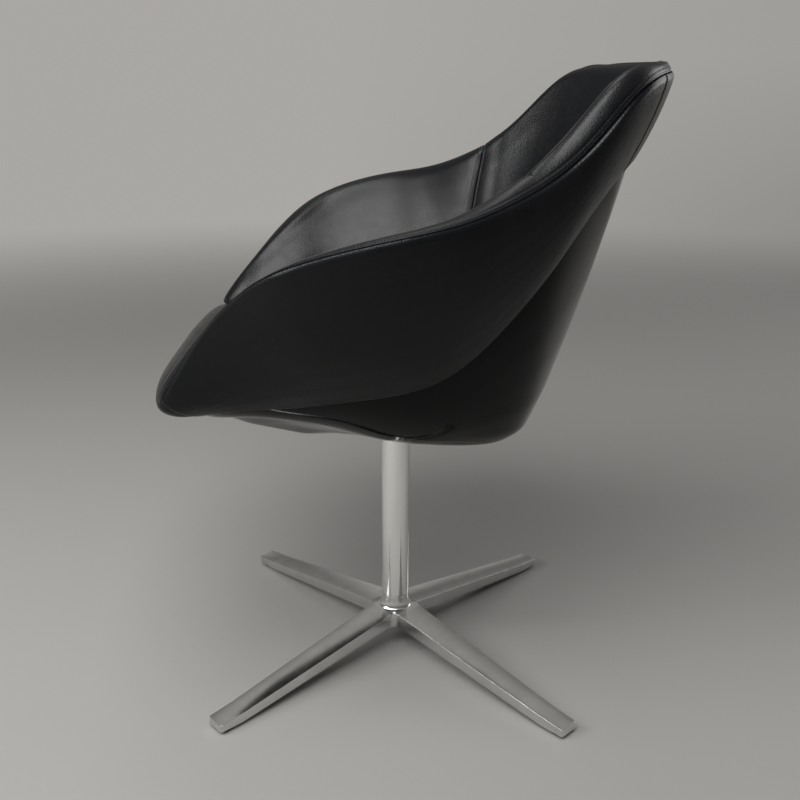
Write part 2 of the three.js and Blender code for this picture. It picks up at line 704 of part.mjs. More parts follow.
// The seat plate under the pan, the pillars that carry the lower shell, and their fasteners
const plateTop = seatPanHeight - clearance;
const plateBottom = plateTop - plateThickness;
const plateHoleRadius = spindleRadius + clearance;

function addSeatPlate() {
  const [half, corner] = [plateHalfSize, plateCorner];
  const outline = new THREE.Shape();
  outline.moveTo(half - corner, -half);
  outline.absarc(half - corner, corner - half, corner, -Math.PI / 2, 0);
  outline.absarc(half - corner, half - corner, corner, 0, Math.PI / 2);
  outline.absarc(corner - half, half - corner, corner, Math.PI / 2, Math.PI);
  outline.absarc(corner - half, corner - half, corner, Math.PI, Math.PI * 1.5);
  const blank = new THREE.ExtrudeGeometry(outline,
    { depth: plateThickness, bevelEnabled: false, curveSegments: cornerSteps });
  blank.translate(0, 0, plateBottom);
  const centred = drilled(blank, [[0, 0]], plateHoleRadius, plateBottom, plateTop, turnedSegments);
  const bolted = drilled(centred, boltPlaces, plateBoltRadius + clearance, plateBottom, plateTop);
  const plate = drilled(bolted, pillarPlaces, shellScrewRadius + clearance, plateBottom, plateTop);
  addPiece('seat_plate', plate, zinc);
}

// A bolt or screw that points up: a head, with the shank above it
function fastener(radius, [widthShare, heightShare], headTop, tip, segments) {
  const headRadius = radius * widthShare;
  const headBottom = headTop - radius * heightShare;
  return turned([[0, headBottom], [headRadius, headBottom], [headRadius, headTop],
    [radius, headTop], [radius, tip], [0, tip]], segments);
}

function addSeatFasteners() {
  const pillarFoot = tubUnderside + lowerShellThickness + clearance;
  const pillarHead = plateBottom - clearance;
  boltPlaces.forEach(([x, y], i) => {
    const bolt = fastener(plateBoltRadius, plateBoltHead, plateBottom - clearance,
      seatPanHeight + seatShellThickness - overrun, smallSegments);
    addPiece(`plate_bolt_${i + 1}`, bolt.translate(x, y, 0), zinc);
  });
  pillarPlaces.forEach(([x, y], i) => {
    const pillar = ring(shellScrewRadius + clearance, pillarRadius, pillarFoot, pillarHead, smallSegments);
    addPiece(`shell_pillar_${i + 1}`, pillar.translate(x, y, 0), rubber);
    const screw = fastener(shellScrewRadius, shellScrewHead, tubUnderside - clearance,
      plateTop - overrun, smallSegments);
    addPiece(`shell_screw_${i + 1}`, screw.translate(x, y, 0), rubber);
  });
}

// The swivel: flanged bush in the tube's mouth, thrust washer, spindle with its hub, lower bush and
// the screw and washer that keep the spindle from lifting out
const bushBore = spindleRadius + runningClearance;
const bushOutside = tubeRadius - tubeWall - clearance;
const flangeTop = tubeTop + clearance + bushFlange;
const thrustTop = flangeTop + clearance + thrustThickness;
const spindleHubBottom = thrustTop + clearance;
const lowerBushBottom = spindleFoot + lowerBushLift;

function addSwivel() {
  const bushFoot = tubeTop - upperBushLength;
  const bushSeat = tubeTop + clearance;
  addPiece('upper_bush', turned([[bushBore, bushFoot], [bushOutside, bushFoot], [bushOutside, bushSeat],
    [tubeRadius, bushSeat], [tubeRadius, flangeTop], [bushBore, flangeTop], [bushBore, bushFoot]],
  bearingSegments), nylon);
  const thrustBottom = flangeTop + clearance;
  addPiece('thrust_washer', ring(bushBore, tubeRadius, thrustBottom, thrustTop, bearingSegments), nylon);
  const threadTop = spindleFoot + spindleThread;
  const bore = spindleScrewRadius + clearance;
  const hubTop = spindleHubBottom + hubHeight;
  const spindleTop = Math.min(plateTop, hubTop + plateThickness);
  addPiece('swivel_spindle', turned([[0, threadTop], [bore, threadTop], [bore, spindleFoot],
    [spindleRadius, spindleFoot], [spindleRadius, spindleHubBottom], [spindleHubRadius, spindleHubBottom],
    [spindleHubRadius, plateBottom - clearance], [spindleRadius, plateBottom - clearance],
    [spindleRadius, spindleTop], [0, spindleTop]], bearingSegments), polished);
  addPiece('lower_bush', ring(bushBore, bushOutside, lowerBushBottom, lowerBushBottom + lowerBushLength,
    bearingSegments), nylon);
  const washerTop = spindleFoot - clearance;
  const washerFoot = washerTop - washerThickness;
  const washer = ring(bore, bushOutside - washerAir, washerFoot, washerTop, turnedSegments);
  addPiece('spindle_washer', washer, zinc);
  addPiece('spindle_screw', fastener(spindleScrewRadius, spindleScrewHead, washerFoot - clearance,
    threadTop - overrun, turnedSegments), zinc);
}

// The column: tube on the casting's spigot, with a threaded plug inside that the base bolt pulls down
const plugBottom = tubeFoot + spigotLength + clearance;
function addColumn() {
  const tubeBottom = tubeFoot + clearance;
  const tube = ring(tubeRadius - tubeWall, tubeRadius, tubeBottom, tubeTop, tubeSegments);
  addPiece('column_tube', tube, polished);
  const bore = baseBoltRadius + clearance;
  const plugTop = plugBottom + plugLength;
  addPiece('column_plug', ring(bore, bushOutside, plugBottom, plugTop, turnedSegments), zinc);
  const washerTop = hubBottom - clearance;
  const washerFoot = washerTop - washerThickness;
  const washerOutside = baseBoltRadius * baseWasherShare;
  addPiece('base_washer', ring(bore, washerOutside, washerFoot, washerTop, turnedSegments), zinc);
  addPiece('base_bolt', fastener(baseBoltRadius, baseBoltHead, washerFoot - clearance, plugTop - overrun,
    smallSegments), zinc);
}

// The four-star base. The arms' plan is one outline; their flat tops and their undersides are the
// faces of a four-sided solid turned about the axis, one face to an arm.
const armCount = 4;
const armTurn = (index) => turn(firstArmDegrees + baseTurnDegrees + (index * 360) / armCount);
const halfWidthAt = (radius) =>
  THREE.MathUtils.mapLinear(radius, 0, starReach, armRootHalfWidth, armTipHalfWidth);

function starOutline() {
  const outline = new THREE.Shape();
  const at = (index, reach, aside) => {
    const angle = armTurn(index);
    return new THREE.Vector2(Math.cos(angle) * reach - Math.sin(angle) * aside,
      Math.sin(angle) * reach + Math.cos(angle) * aside);
  };
  // Two neighbouring arms' edges meet where the reach equals the half width
  const taper = (armRootHalfWidth - armTipHalfWidth) / starReach;
  const crotch = armRootHalfWidth / (1 + taper);
  for (let index = 0; index < armCount; index += 1) {
    const rootReach = crotch + crotchRadius;
    const root = at(index, rootReach, -halfWidthAt(rootReach));
    if (index === 0) outline.moveTo(root.x, root.y);
    const tip = at(index, starReach, 0);
    [-1, 1].forEach((hand) => {
      const corner = at(index, starReach, hand * armTipHalfWidth);
      const alongEdge = at(index, starReach - armTipCorner, hand * halfWidthAt(starReach - armTipCorner));
      const alongEnd = corner.clone().lerp(tip, armTipCorner / armTipHalfWidth);
      const [start, end] = hand < 0 ? [alongEdge, alongEnd] : [alongEnd, alongEdge];
      outline.lineTo(start.x, start.y);
      outline.quadraticCurveTo(corner.x, corner.y, end.x, end.y);
    });
    const leave = at(index, rootReach, halfWidthAt(rootReach));
    const corner = at(index, crotch, crotch);
    const enter = at(index + 1, rootReach, -halfWidthAt(rootReach));
    outline.lineTo(leave.x, leave.y);
    outline.quadraticCurveTo(corner.x, corner.y, enter.x, enter.y);
  }
  return outline;
}

// A four-sided turned solid whose faces, not its corners, lie at the given radii
function fourSided(outline) {
  const stretch = 1 / Math.cos(Math.PI / armCount);
  const solid = turned(outline.map(([radius, height]) => [radius * stretch, height]), armCount);
  return solid.rotateZ(turn(baseTurnDegrees));
}

function addBase() {
  const star = new THREE.ExtrudeGeometry(starOutline(),
    { depth: tubeFoot, bevelEnabled: false, curveSegments: cornerSteps });
  const slope = (armRootTop - armBendTop) / (starBend - starRoot);
  const middleTop = armRootTop + slope * starRoot;
  const padStart = starReach - padLength;
  const over = starReach + overrun;
  const armsDepth = fourSided([[0, armRootBottom], [starRoot, armRootBottom], [padStart, armTipBottom],
    [over, armTipBottom], [over, armTipTop], [starBend, armBendTop], [0, middleTop]]);
  let base = toManifold(star).intersect(toManifold(armsDepth));

  // The hub and the neck, flaring into the arms, with the spigot that enters the tube
  const flareBottom = tubeFoot - neckStraight - neckFlareHeight;
  const flare = Array.from({ length: cornerSteps + 1 }, (_, i) => {
    const angle = (i / cornerSteps) * (Math.PI / 2);
    return [neckFlare - (neckFlare - tubeRadius) * Math.sin(angle),
      flareBottom + neckFlareHeight * (1 - Math.cos(angle))];
  });
  const spigotTop = tubeFoot + spigotLength;
  const neck = turned([[0, hubBottom], [hubRadius, hubBottom], [hubRadius, armRootBottom + castWall],
    [neckFlare, armRootBottom + castWall], ...flare, [tubeRadius, tubeFoot], [bushOutside, tubeFoot],
    [bushOutside, spigotTop], [0, spigotTop]], turnedSegments);
  base = base.add(toManifold(neck));

  // Hollow under each arm, a bore for the base bolt and one for each glide's screw
  const roof = fourSided([[0, -overrun], [over, -overrun], [over, armTipTop - castWall],
    [starBend, armBendTop - castWall], [0, middleTop - castWall]]);
  const hollowStart = neckFlare + castWall;
  const hollowEnd = padStart - castWall;
  for (let index = 0; index < armCount; index += 1) {
    const plan = new THREE.Shape();
    plan.moveTo(hollowStart, castWall - halfWidthAt(hollowStart));
    plan.lineTo(hollowEnd, castWall - halfWidthAt(hollowEnd));
    plan.lineTo(hollowEnd, halfWidthAt(hollowEnd) - castWall);
    plan.lineTo(hollowStart, halfWidthAt(hollowStart) - castWall);
    const cutter = new THREE.ExtrudeGeometry(plan, { depth: tubeFoot, bevelEnabled: false });
    cutter.translate(0, 0, -overrun).rotateZ(armTurn(index));
    base = base.subtract(toManifold(cutter).intersect(toManifold(roof)));
    const screwHole = rod(glideScrewRadius + clearance, 0, glideScrewTip + clearance, smallSegments);
    screwHole.translate(glidePlace, 0, 0).rotateZ(armTurn(index));
    base = base.subtract(toManifold(screwHole));
  }
  base = base.subtract(toManifold(rod(baseBoltRadius + clearance, 0, spigotTop + overrun, smallSegments)));
  addPiece('base_casting', fromManifold(base), cast);
}
// A glide under each arm's tip, held by a sunk screw
function addGlides() {
  const names = ['rear_left', 'rear_right', 'front_right', 'front_left'];
  const [widthShare, heightShare] = glideScrewHead;
  const headRadius = glideScrewRadius * widthShare;
  const headBottom = glideBevel / 2;
  const headTop = headBottom + glideScrewRadius * heightShare;
  const sink = headTop + clearance;
  const top = armTipBottom - clearance;
  names.forEach((name, index) => {
    const glide = turned([[glideScrewRadius + clearance, sink], [headRadius + clearance, sink],
      [headRadius + clearance, 0], [glideRadius - glideBevel, 0], [glideRadius, glideBevel],
      [glideRadius, top], [glideScrewRadius + clearance, top], [glideScrewRadius + clearance, sink]],
      turnedSegments);
    const screw = turned([[0, headBottom], [headRadius, headBottom], [headRadius, headTop],
      [glideScrewRadius, headTop], [glideScrewRadius, glideScrewTip], [0, glideScrewTip]], smallSegments);
    const place = (shape) => shape.translate(glidePlace, 0, 0).rotateZ(armTurn(index));
    addPiece(`glide_${name}`, place(glide), rubber);
    addPiece(`glide_screw_${name}`, place(screw), zinc);
  });
}

addBase();
addGlides();
addColumn();
addSwivel();
addSeatPlate();
addSeatFasteners();
addSeatShell();
addLowerShell();
addUpholstery();

// The origin: the middle of the footprint, on the floor
const extent = new THREE.Box3().setFromObject(chair);
const middle = extent.getCenter(v3());
chair.position.set(-middle.x, -middle.y, -extent.min.z);
chair.updateMatrixWorld(true);

export default chair;
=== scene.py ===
# %% [markdown]
# # A swivel tub armchair, dressed for a photograph
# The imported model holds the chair's exact pieces: a cast star base, a column, a shell and its foam and
# leather. This lesson keeps that model as a fixed frame and makes the surfaces that an eye notices:
# tight black leather with its seams and stitches, a glossy lower shell and polished metal.
# Everything is in metres, the sitter faces -Y, and the floor is Z = 0.

# %% Load the frame
import json
import math
import bmesh
import bpy
import numpy as np
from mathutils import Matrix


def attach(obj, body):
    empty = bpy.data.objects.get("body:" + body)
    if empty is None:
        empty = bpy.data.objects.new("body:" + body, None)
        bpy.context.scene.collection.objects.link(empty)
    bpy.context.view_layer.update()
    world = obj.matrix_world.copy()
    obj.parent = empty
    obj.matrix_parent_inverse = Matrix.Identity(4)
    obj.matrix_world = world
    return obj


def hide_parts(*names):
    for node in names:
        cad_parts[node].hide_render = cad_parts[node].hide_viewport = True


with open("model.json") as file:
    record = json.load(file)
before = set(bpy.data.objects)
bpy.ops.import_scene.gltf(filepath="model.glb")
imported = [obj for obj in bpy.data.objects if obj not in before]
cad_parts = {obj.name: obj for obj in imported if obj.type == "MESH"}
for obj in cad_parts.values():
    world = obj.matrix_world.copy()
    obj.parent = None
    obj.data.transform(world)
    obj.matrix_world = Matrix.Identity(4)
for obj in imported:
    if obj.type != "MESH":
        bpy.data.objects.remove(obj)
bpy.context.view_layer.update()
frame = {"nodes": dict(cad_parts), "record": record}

# %% [markdown]
# ## The camera
# The photograph was taken from the chair's left, a little above the arms. The camera's place and angles
# were worked out from the base's four tips and the column, which gave an ordinary lens of 43 mm.

# %% Place the camera
def in_scene(name, data):
    """A new object that shows this data, linked into the scene."""
    piece = bpy.data.objects.new(name, data)
    bpy.context.scene.collection.objects.link(piece)
    return piece


camera_data = bpy.data.cameras.new("camera")
camera_data.lens = 42.71
camera_data.sensor_width = 36.0
camera = in_scene("camera", camera_data)
camera.location = (1.2488, -0.0426, 0.8047)
camera.rotation_euler = [math.radians(angle) for angle in (71.149, -0.352, 88.974)]
bpy.context.scene.camera = camera
print("camera: lens", round(camera_data.lens, 2), "mm,", round(camera.location.x, 3), "m to the left")

# %% [markdown]
# ## The tub's guiding lines
# A tub chair is one continuous wall, so it is easiest to describe by lines that run round it. Each line
# here has fourteen stations from the middle of the front to the middle of the back, as shares of the
# tub's width, depth and height. The other half is its mirror image. A closed cubic spline through them
# gives curvature without kinks, which is what makes leather and gloss reflect smoothly.

# %% Lines round the tub
half_width, front_reach, rear_reach = 0.336, 0.290, 0.336
underside, tub_height, shift_y = 0.344, 0.481, -0.023
corner, arm_back, side_rear, back_middle = 3, 9.4, 12, 13
all_round = 2 * back_middle
seam_shares = [
    (0, 0, 0.22), (0.327, 0.003, 0.22), (0.595, 0.014, 0.218), (0.714, 0.035, 0.237),
    (0.747, 0.104, 0.38), (0.866, 0.2, 0.519), (0.981, 0.298, 0.593), (0.997, 0.431, 0.64),
    (0.917, 0.551, 0.667), (0.78, 0.658, 0.707), (0.643, 0.77, 0.786), (0.545, 0.866, 0.911),
    (0.363, 0.944, 0.966), (0, 1, 0.974)]
edge_shares = [
    (0, 0.045, 0.166), (0.283, 0.048, 0.166), (0.5, 0.061, 0.168), (0.637, 0.094, 0.183),
    (0.69, 0.173, 0.206), (0.714, 0.27, 0.218), (0.732, 0.358, 0.235), (0.744, 0.449, 0.254),
    (0.732, 0.543, 0.293), (0.685, 0.634, 0.383), (0.595, 0.728, 0.511), (0.491, 0.8, 0.624),
    (0.298, 0.887, 0.73), (0, 0.947, 0.767)]
keel_shares = [
    (0, 0.093, 0.127), (0.235, 0.096, 0.129), (0.4, 0.11, 0.135), (0.48, 0.141, 0.15),
    (0.545, 0.2, 0.164), (0.565, 0.278, 0.15), (0.56, 0.348, 0.127), (0.565, 0.444, 0.096),
    (0.565, 0.535, 0.09), (0.53, 0.615, 0.086), (0.446, 0.684, 0.065), (0.31, 0.722, 0.037),
    (0.155, 0.742, 0.015), (0, 0.749, 0.011)]
front_of_pan = [(0.253, 0.096, 0.129), (0.42, 0.109, 0.148), (0.52, 0.142, 0.168), (0.555, 0.205, 0.169)]
pan_shares = [keel_shares[0], *front_of_pan, *keel_shares[5:]]
crease_shares = [
    (0, 0.109, 0.258), (0.27, 0.11, 0.258), (0.44, 0.118, 0.256), (0.536, 0.136, 0.254),
    (0.577, 0.188, 0.247), (0.595, 0.262, 0.241), (0.607, 0.345, 0.237), (0.61, 0.435, 0.235),
    (0.595, 0.518, 0.233), (0.548, 0.591, 0.231), (0.47, 0.642, 0.229), (0.369, 0.674, 0.227),
    (0.22, 0.696, 0.225), (0, 0.708, 0.225)]


def closed_spline(half):
    """A smooth closed line through the half's stations and their mirror images."""
    half = np.array(half, float)
    places = np.vstack([half, half[-2:0:-1] * (-1, 1, 1)])
    count = len(places)
    bend = 4 * np.eye(count) + np.roll(np.eye(count), 1, 0) + np.roll(np.eye(count), -1, 0)
    second = np.linalg.solve(bend, 6 * (np.roll(places, -1, 0) - 2 * places + np.roll(places, 1, 0)))

    def line(station):
        start = np.floor(station).astype(int)
        t = (station - start)[..., None]
        i, j = start % count, (start + 1) % count
        return ((1 - t) * places[i] + t * places[j]
                + ((1 - t) ** 3 - (1 - t)) * second[i] / 6 + (t ** 3 - t) * second[j] / 6)
    return line


def placed(shares):
    """Shares of the tub's width, depth and height as places in metres."""
    width, depth, height = np.array(shares, float).T
    return np.stack([width * half_width, depth * (front_reach + rear_reach) - front_reach,
                     underside + height * tub_height], 1)


def value_line(values):
    """A plain value that changes smoothly round the tub."""
    line = closed_spline([(0, value, 0) for value in values])
    return lambda station: line(station)[..., 1]


seam_line, edge_line = closed_spline(placed(seam_shares)), closed_spline(placed(edge_shares))
keel_line, crease_line = closed_spline(placed(keel_shares)), closed_spline(placed(crease_shares))
pan_line = closed_spline(placed(pan_shares))
band_share = value_line([0.69, 0.69, 0.69, 0.7, 0.75, 0.85, 0.85, 0.85, 0.85, 0.9, 1, 1, 0.75, 0.57])
band_tilt = value_line([55, 55, 52, 38, 18, 9, 6, 5, 8, 24, 52, 60, 46, 42])
band_roll = value_line([12, 12, 5, -12, -40, -55, -55, -55, -50, -38, -20, -18, -40, -52])
fullness = value_line([0.4, 0.4, 0.45, 0.6, 0.9, 1, 1, 1, 1, 0.9, 0.75, 0.6, 0.5, 0.4])
belly_share = value_line([0.75, 0.75, 0.75, 0.6, 0.38, 0.15, 0, 0, 0.2, 0.5, 0.45, 0.25, 0.12, 0.12])
print("lines:", len(seam_shares), "stations on a half,", all_round, "all round")

# %% [markdown]
# ## One cut through the wall
# At any station the wall is described by a few places: the outer panel from its lower edge up to the
# seam, the band above the seam, the ridge, and the padded inside down to the crease at the seat.
# These helpers give them for many stations at once, so each surface is one array of points.

# %% Places of a cut
panel_thickness, panel_step, side_bulge, flank_bulge = 0.0103, 0.007, 0.011, 0.007
rim_width, rim_roll, rim_drop, wall_crown = 0.028, 0.014, 0.012, 0.007
shell_thickness, pan_height, pad_seat, edge_gap = 0.007, 0.389, 0.0005, 0.0005
lower_thickness, shell_air = 0.003, 0.003
band_rise_degrees = 9


def unit(ways):
    """The same directions with length one."""
    return ways / np.linalg.norm(ways, axis=-1, keepdims=True)


def run_of(line, station, reach=0.02):
    """The way a line runs at each station."""
    return unit(line(station + reach) - line(station - reach))


def outward(low, high, station):
    """The way out of the tub, square to the wall between two lines."""
    middle = run_of(lambda at: (low(at) + high(at)) / 2, station)
    return unit(np.cross(middle, high(station) - low(station)))


def bow(share):
    """Nothing at both ends (0 and 1), all in the middle."""
    return 4 * share * (1 - share)


def side(station, share, depth):
    """A place on the outer panel, from its lower edge (0) to the seam (1), depth under its surface."""
    edge, seam = edge_line(station), seam_line(station)
    out = bow(share) * side_bulge * fullness(station)[:, None] - depth
    return edge + (seam - edge) * share + outward(edge_line, seam_line, station) * out


def below_seam(station, drop):
    """The outer panel's share that lies this far under its seam."""
    return 1 - drop / np.linalg.norm(seam_line(station) - edge_line(station), axis=1)[:, None]


def flank(station, share, depth, low=keel_line):
    """A place on the gloss shell's flank, from its keel (0) to its top edge (1)."""
    up = unit(seam_line(station) - edge_line(station))
    top = side(station, 0, panel_step) - up * edge_gap
    foot = low(station)
    out = bow(share) * flank_bulge - depth
    return foot + (top - foot) * share + outward(low, edge_line, station) * out


def rim(station):
    """The middle of the band, the ridge, and the place where the rim has rolled to the inside."""
    seam, run = seam_line(station), run_of(seam_line, station)
    rise = unit(np.array([0, 0, 1.0]) - run * run[:, 2:])
    inwards = np.cross(rise, run)

    def step(start, distance, degrees):
        angle = np.radians(degrees)[:, None]
        return start + distance * (inwards * np.cos(angle) + rise * np.sin(angle))
    band, tilt = band_share(station)[:, None] * rim_width, band_tilt(station)
    middle, ridge = step(seam, band / 2, tilt + band_rise_degrees), step(seam, band, tilt)
    return middle, ridge, step(ridge, rim_roll, band_roll(station))


def inside_wall(station, share):
    """A place on the padded inside, from the crease (0) to where the rim has rolled in (1)."""
    crease, top = crease_line(station), rim(station)[2]
    inwards = -unit(np.cross(run_of(crease_line, station), top - crease))
    return crease + (top - crease) * share + inwards * bow(share) * wall_crown


back_ridge = rim(np.array([back_middle]))[1]
print("rim:", round(float(back_ridge[0, 2]), 4), "m high at the middle of the back")

# %% [markdown]
# ## What lies behind the leather
# The pads rest on a moulded shell. Its face is rebuilt here as a short broken line per station, so that
# each pad gets a true back and fills the same space as its foam in the frame.

# %% The shell's face, and where seat and wall part
part_depth, part_start, part_gap, pan_turn = 0.45, 0.35, 0.00022, 0.93
over_edge, edge_middle = rim_drop - pad_seat, panel_thickness + pad_seat + shell_thickness / 2
inside_depth = panel_thickness + shell_thickness + pad_seat * 2


def folded(station):
    """The station's distance from the middle of the front, on either half."""
    wrapped = np.mod(station, all_round)
    return np.minimum(wrapped, all_round - wrapped)


def pad_face(station):
    """The face that the pads rest on, as seven places from the pan up to the rim."""
    depth = shell_thickness + pad_seat
    top_air = panel_thickness + pad_seat - panel_step - lower_thickness

    def skin(share):
        return lower_thickness + shell_air + share * (top_air - shell_air) + depth
    pan = pan_line(station)
    turn = pan * pan_turn
    turn[:, 2] = np.maximum(pan_height + depth, pan[:, 2] + skin(0))
    top = below_seam(station, rim_drop)
    return np.stack([turn] + [flank(station, share, skin(share), pan_line) for share in (0.25, 0.5, 0.75)]
                    + [side(station, share * top, panel_thickness + pad_seat + depth)
                       for share in (0, 0.5, 1)], 1)


def shares_of(places):
    """Each place's share of the way along its station's broken line."""
    steps = np.linalg.norm(np.diff(places, axis=1), axis=2)
    total = np.concatenate([np.zeros((len(places), 1)), np.cumsum(steps, 1)], 1)
    return total / total[:, -1:]


def places_at(at, marks, line):
    """The places at given marks of a broken line, which has a mark for each of its points."""
    return np.stack([np.interp(at, marks, line[:, axis]) for axis in range(3)], -1)


def place_along(places, share):
    """The place at each station's own share of the way along its broken line."""
    return np.array([places_at(*way) for way in zip(share, shares_of(places), places)])


def foot_share(station):
    """Where the shell's face comes nearest to the crease, along the front as at its corner."""
    held = np.maximum(folded(station), corner)
    face, crease = pad_face(held), crease_line(held)
    start, step = face[:, :-1], np.diff(face, axis=1)
    part = np.clip(np.sum((crease[:, None] - start) * step, 2) / np.sum(step * step, 2), 0, 1)
    gap = np.linalg.norm(start + step * part[..., None] - crease[:, None], axis=2)
    marks, near, every = shares_of(face), gap.argmin(1), np.arange(len(face))
    low, high = marks[every, near], marks[every, near + 1]
    return low + part[every, near] * (high - low)


def parting(station):
    """Where seat and wall pads part behind the crease, the shell's place there, and its face."""
    face = pad_face(station)
    foot = place_along(face, foot_share(station))
    crease = crease_line(station)
    t = np.clip((folded(station) - corner) / part_start, 0, 1)[:, None]
    return crease + (foot - crease) * part_depth * t * t * (3 - 2 * t), foot, face


def wall_back(station):
    """The back of a wall pad: up the shell's face and over its edge."""
    _, foot, face = parting(station)
    low, marks = foot_share(station), shares_of(face)
    rows = [foot] + [place_along(face, np.maximum(marks[:, i], low)) for i in range(1, 7)]
    top = below_seam(station, over_edge)
    return np.stack(rows + [side(station, top, inside_depth), side(station, top, edge_middle + part_gap)], 1)


print("shell's face:", pad_face(np.array([0.0])).shape[1], "places per station")

# %% [markdown]
# ## From lines to a stitched panel
# A leather panel is a grid: columns round the tub, rows up the wall. Columns and rows lie close together
# near a seam, where the leather dips and is sewn, and further apart on the plain field. Each cut is
# first rounded like stuffing under leather, then cut into rows by distance, so the stitch rows can be
# found again at exactly 3 and 7 mm from their seam.

# %% Rows, columns and normals
MM = 0.001
seam_steps = np.array([0, 0.25, 0.6, 1.1, 1.8, 3, 4.2, 5.6, 7, 8.6, 11]) * MM
edge_steps = np.array([0, 0.2, 0.5, 0.9, 1.5, 2.2, 3.2, 5]) * MM
stitch_rows = (5, 8)
both_ends = [*stitch_rows, *(-1 - row for row in stitch_rows)]


def marks_of(line):
    """The distance along a line at each of its places."""
    return np.concatenate([[0], np.cumsum(np.linalg.norm(np.diff(line, axis=0), axis=1))])


def bell(reach, spread):
    """Weights of a soft average over this many neighbours on either side."""
    weight = np.exp(-0.5 * (np.arange(-reach, reach + 1) / spread) ** 2)
    return weight / weight.sum()


def rounded(line, softness, dense=260):
    """A broken line as an even run of places, with its corners eased over the given length."""
    marks = marks_of(line)
    places = places_at(np.linspace(0, marks[-1], dense), marks, line)
    spread = max(softness / (marks[-1] / (dense - 1)), 0.5)
    reach = int(spread * 3) + 1
    weight = bell(reach, spread)
    before = 2 * places[0] - places[reach:0:-1]
    after = 2 * places[-1] - places[-2:-reach - 2:-1]
    wide = np.vstack([before, places, after])
    return np.stack([np.convolve(wide[:, axis], weight, "valid") for axis in range(3)], 1)


def eased(grid, from_seam, ends, spread=2.5):
    """The grid evened out along the tub, except close to its sewn edges."""
    reach = int(spread * 3)
    wide = np.concatenate([grid[:1].repeat(reach, 0), grid, grid[-1:].repeat(reach, 0)])
    even = sum(wide[i:i + len(grid)] * weight for i, weight in enumerate(bell(reach, spread)))
    held = np.clip(from_seam / (12 * MM), 0, 1) * np.clip(ends / (30 * MM), 0, 1)
    return grid + (even - grid) * held[..., None]


def cut_rows(lines, softness, low, high, middle):
    """Every station's line, rounded and cut at fixed distances from both ends."""
    rows, from_low, from_high = [], [], []
    for line, soft in zip(lines, softness):
        places = rounded(line, soft)
        marks = marks_of(places)
        total = marks[-1]
        between = np.linspace(low[-1], total - high[-1], middle + 2)[1:-1]
        at = np.concatenate([low, between, total - high[::-1]])
        rows.append(places_at(at, marks, places))
        from_low.append(at)
        from_high.append(total - at)
    return np.array(rows), np.array(from_low), np.array(from_high)


def columns(start, end, spacing=0.0032, fine=seam_steps):
    """Stations of a panel's columns by length along the seam, close together at its two ends."""
    stations = np.linspace(start, end, 2001)
    marks = marks_of(seam_line(stations))
    total = marks[-1]
    count = int((total - 2 * fine[-1]) / spacing)
    between = np.linspace(fine[-1], total - fine[-1], count + 2)[1:-1]
    at = np.concatenate([fine, between, total - fine[::-1]])
    return np.interp(at, marks, stations), at, total - at


def square_to(grid, inside):
    """Unit normals of a grid of places, pointing away from the places inside it."""
    normals = np.cross(np.gradient(grid, axis=0), np.gradient(grid, axis=1))
    normals = unit(normals + 1e-12)
    return normals * np.sign(np.sum(normals * (grid - inside)))


print("stitch rows:", [round(seam_steps[row] * 1000, 1) for row in stitch_rows], "mm from their seam")

# %% [markdown]
# ## What sewing does to leather
# A seam pulls the leather down into a narrow valley, each row of stitches presses a shallow line into
# it, and a cut edge is folded over with a small radius. Slow, shallow waves are left where the hide was
# stretched over the foam.

# %% Dips, folds and waves
def grown_in(distance, reach):
    """A share that rises evenly from 0 at an edge to 1 at the reach, in millimetres."""
    return np.clip(distance / (reach * MM), 0, 1)


def fading(distance, reach):
    """A share that is 1 at an edge and fades away from it; the reach is in millimetres."""
    return np.exp(-distance / (reach * MM))


def hump(offset, width):
    """A share that is 1 at no offset and falls off softly to both sides."""
    return np.exp(-(offset / width) ** 2)


def sewn(distance, rows=(3, 7), deep=2.8):
    """How far a topstitched edge lies under the plain leather, at a distance from its seam."""
    valley_reach, row_deep, row_width = 1.4, 0.7, 0.85 * MM
    return MM * (deep * fading(distance, valley_reach)
                 + row_deep * sum(hump(distance - row * MM, row_width) for row in rows))


def turned_edge(distance, radius=2.6 * MM, reach=None):
    """A rounded edge: it falls away over its reach, by default a full quarter turn."""
    inside = np.clip((reach or radius) - distance, 0, reach or radius)
    return radius - np.sqrt(radius * radius - inside * inside)


def shouldered(distance):
    """The full, round edge that comes up from under the seam and catches the light."""
    full, width = 3.4 * MM, 45 * MM
    return turned_edge(distance, 9 * MM, 7.8 * MM) - full * hump(distance, width)


def waves(places, length, seed, count=7):
    """A smooth random swell, mostly between -1 and 1, with about this distance from crest to crest."""
    random = np.random.default_rng(seed)
    ways = unit(random.normal(size=(count, 3)))
    swell = sum(np.sin(places @ way * (2 * np.pi / length * pace) + phase) for way, pace, phase in
                zip(ways, random.uniform(0.6, 1.5, count), random.uniform(0, 6.28, count)))
    return swell / math.sqrt(count)


def swelling(places, seed, lengths, heights=(0.3, 0.08)):
    """A slow swell with a shorter, weaker one on it, in millimetres."""
    return sum(height * waves(places, length, seed + order)
               for order, (length, height) in enumerate(zip(lengths, heights)))


print("a seam lies", round(float(sewn(0.0)) * 1000, 1), "mm under the plain leather")

# %% [markdown]
# ## Making the mesh
# A skin and a back with the same grid are joined along their borders, which gives a closed body with
# no holes. A map travels with it that says how far each point is along the seam and how far below it.
# The leather's puckers read it, so that they stay square to the seam wherever it bends.

# %% Closed bodies from a skin and a back
back_offset = 50 * MM


def grid_faces(across, up):
    i, j = np.meshgrid(np.arange(across - 1), np.arange(up - 1), indexing="ij")
    a = (i * up + j).ravel()
    return np.stack([a, a + up, a + up + 1, a + 1], 1).tolist()


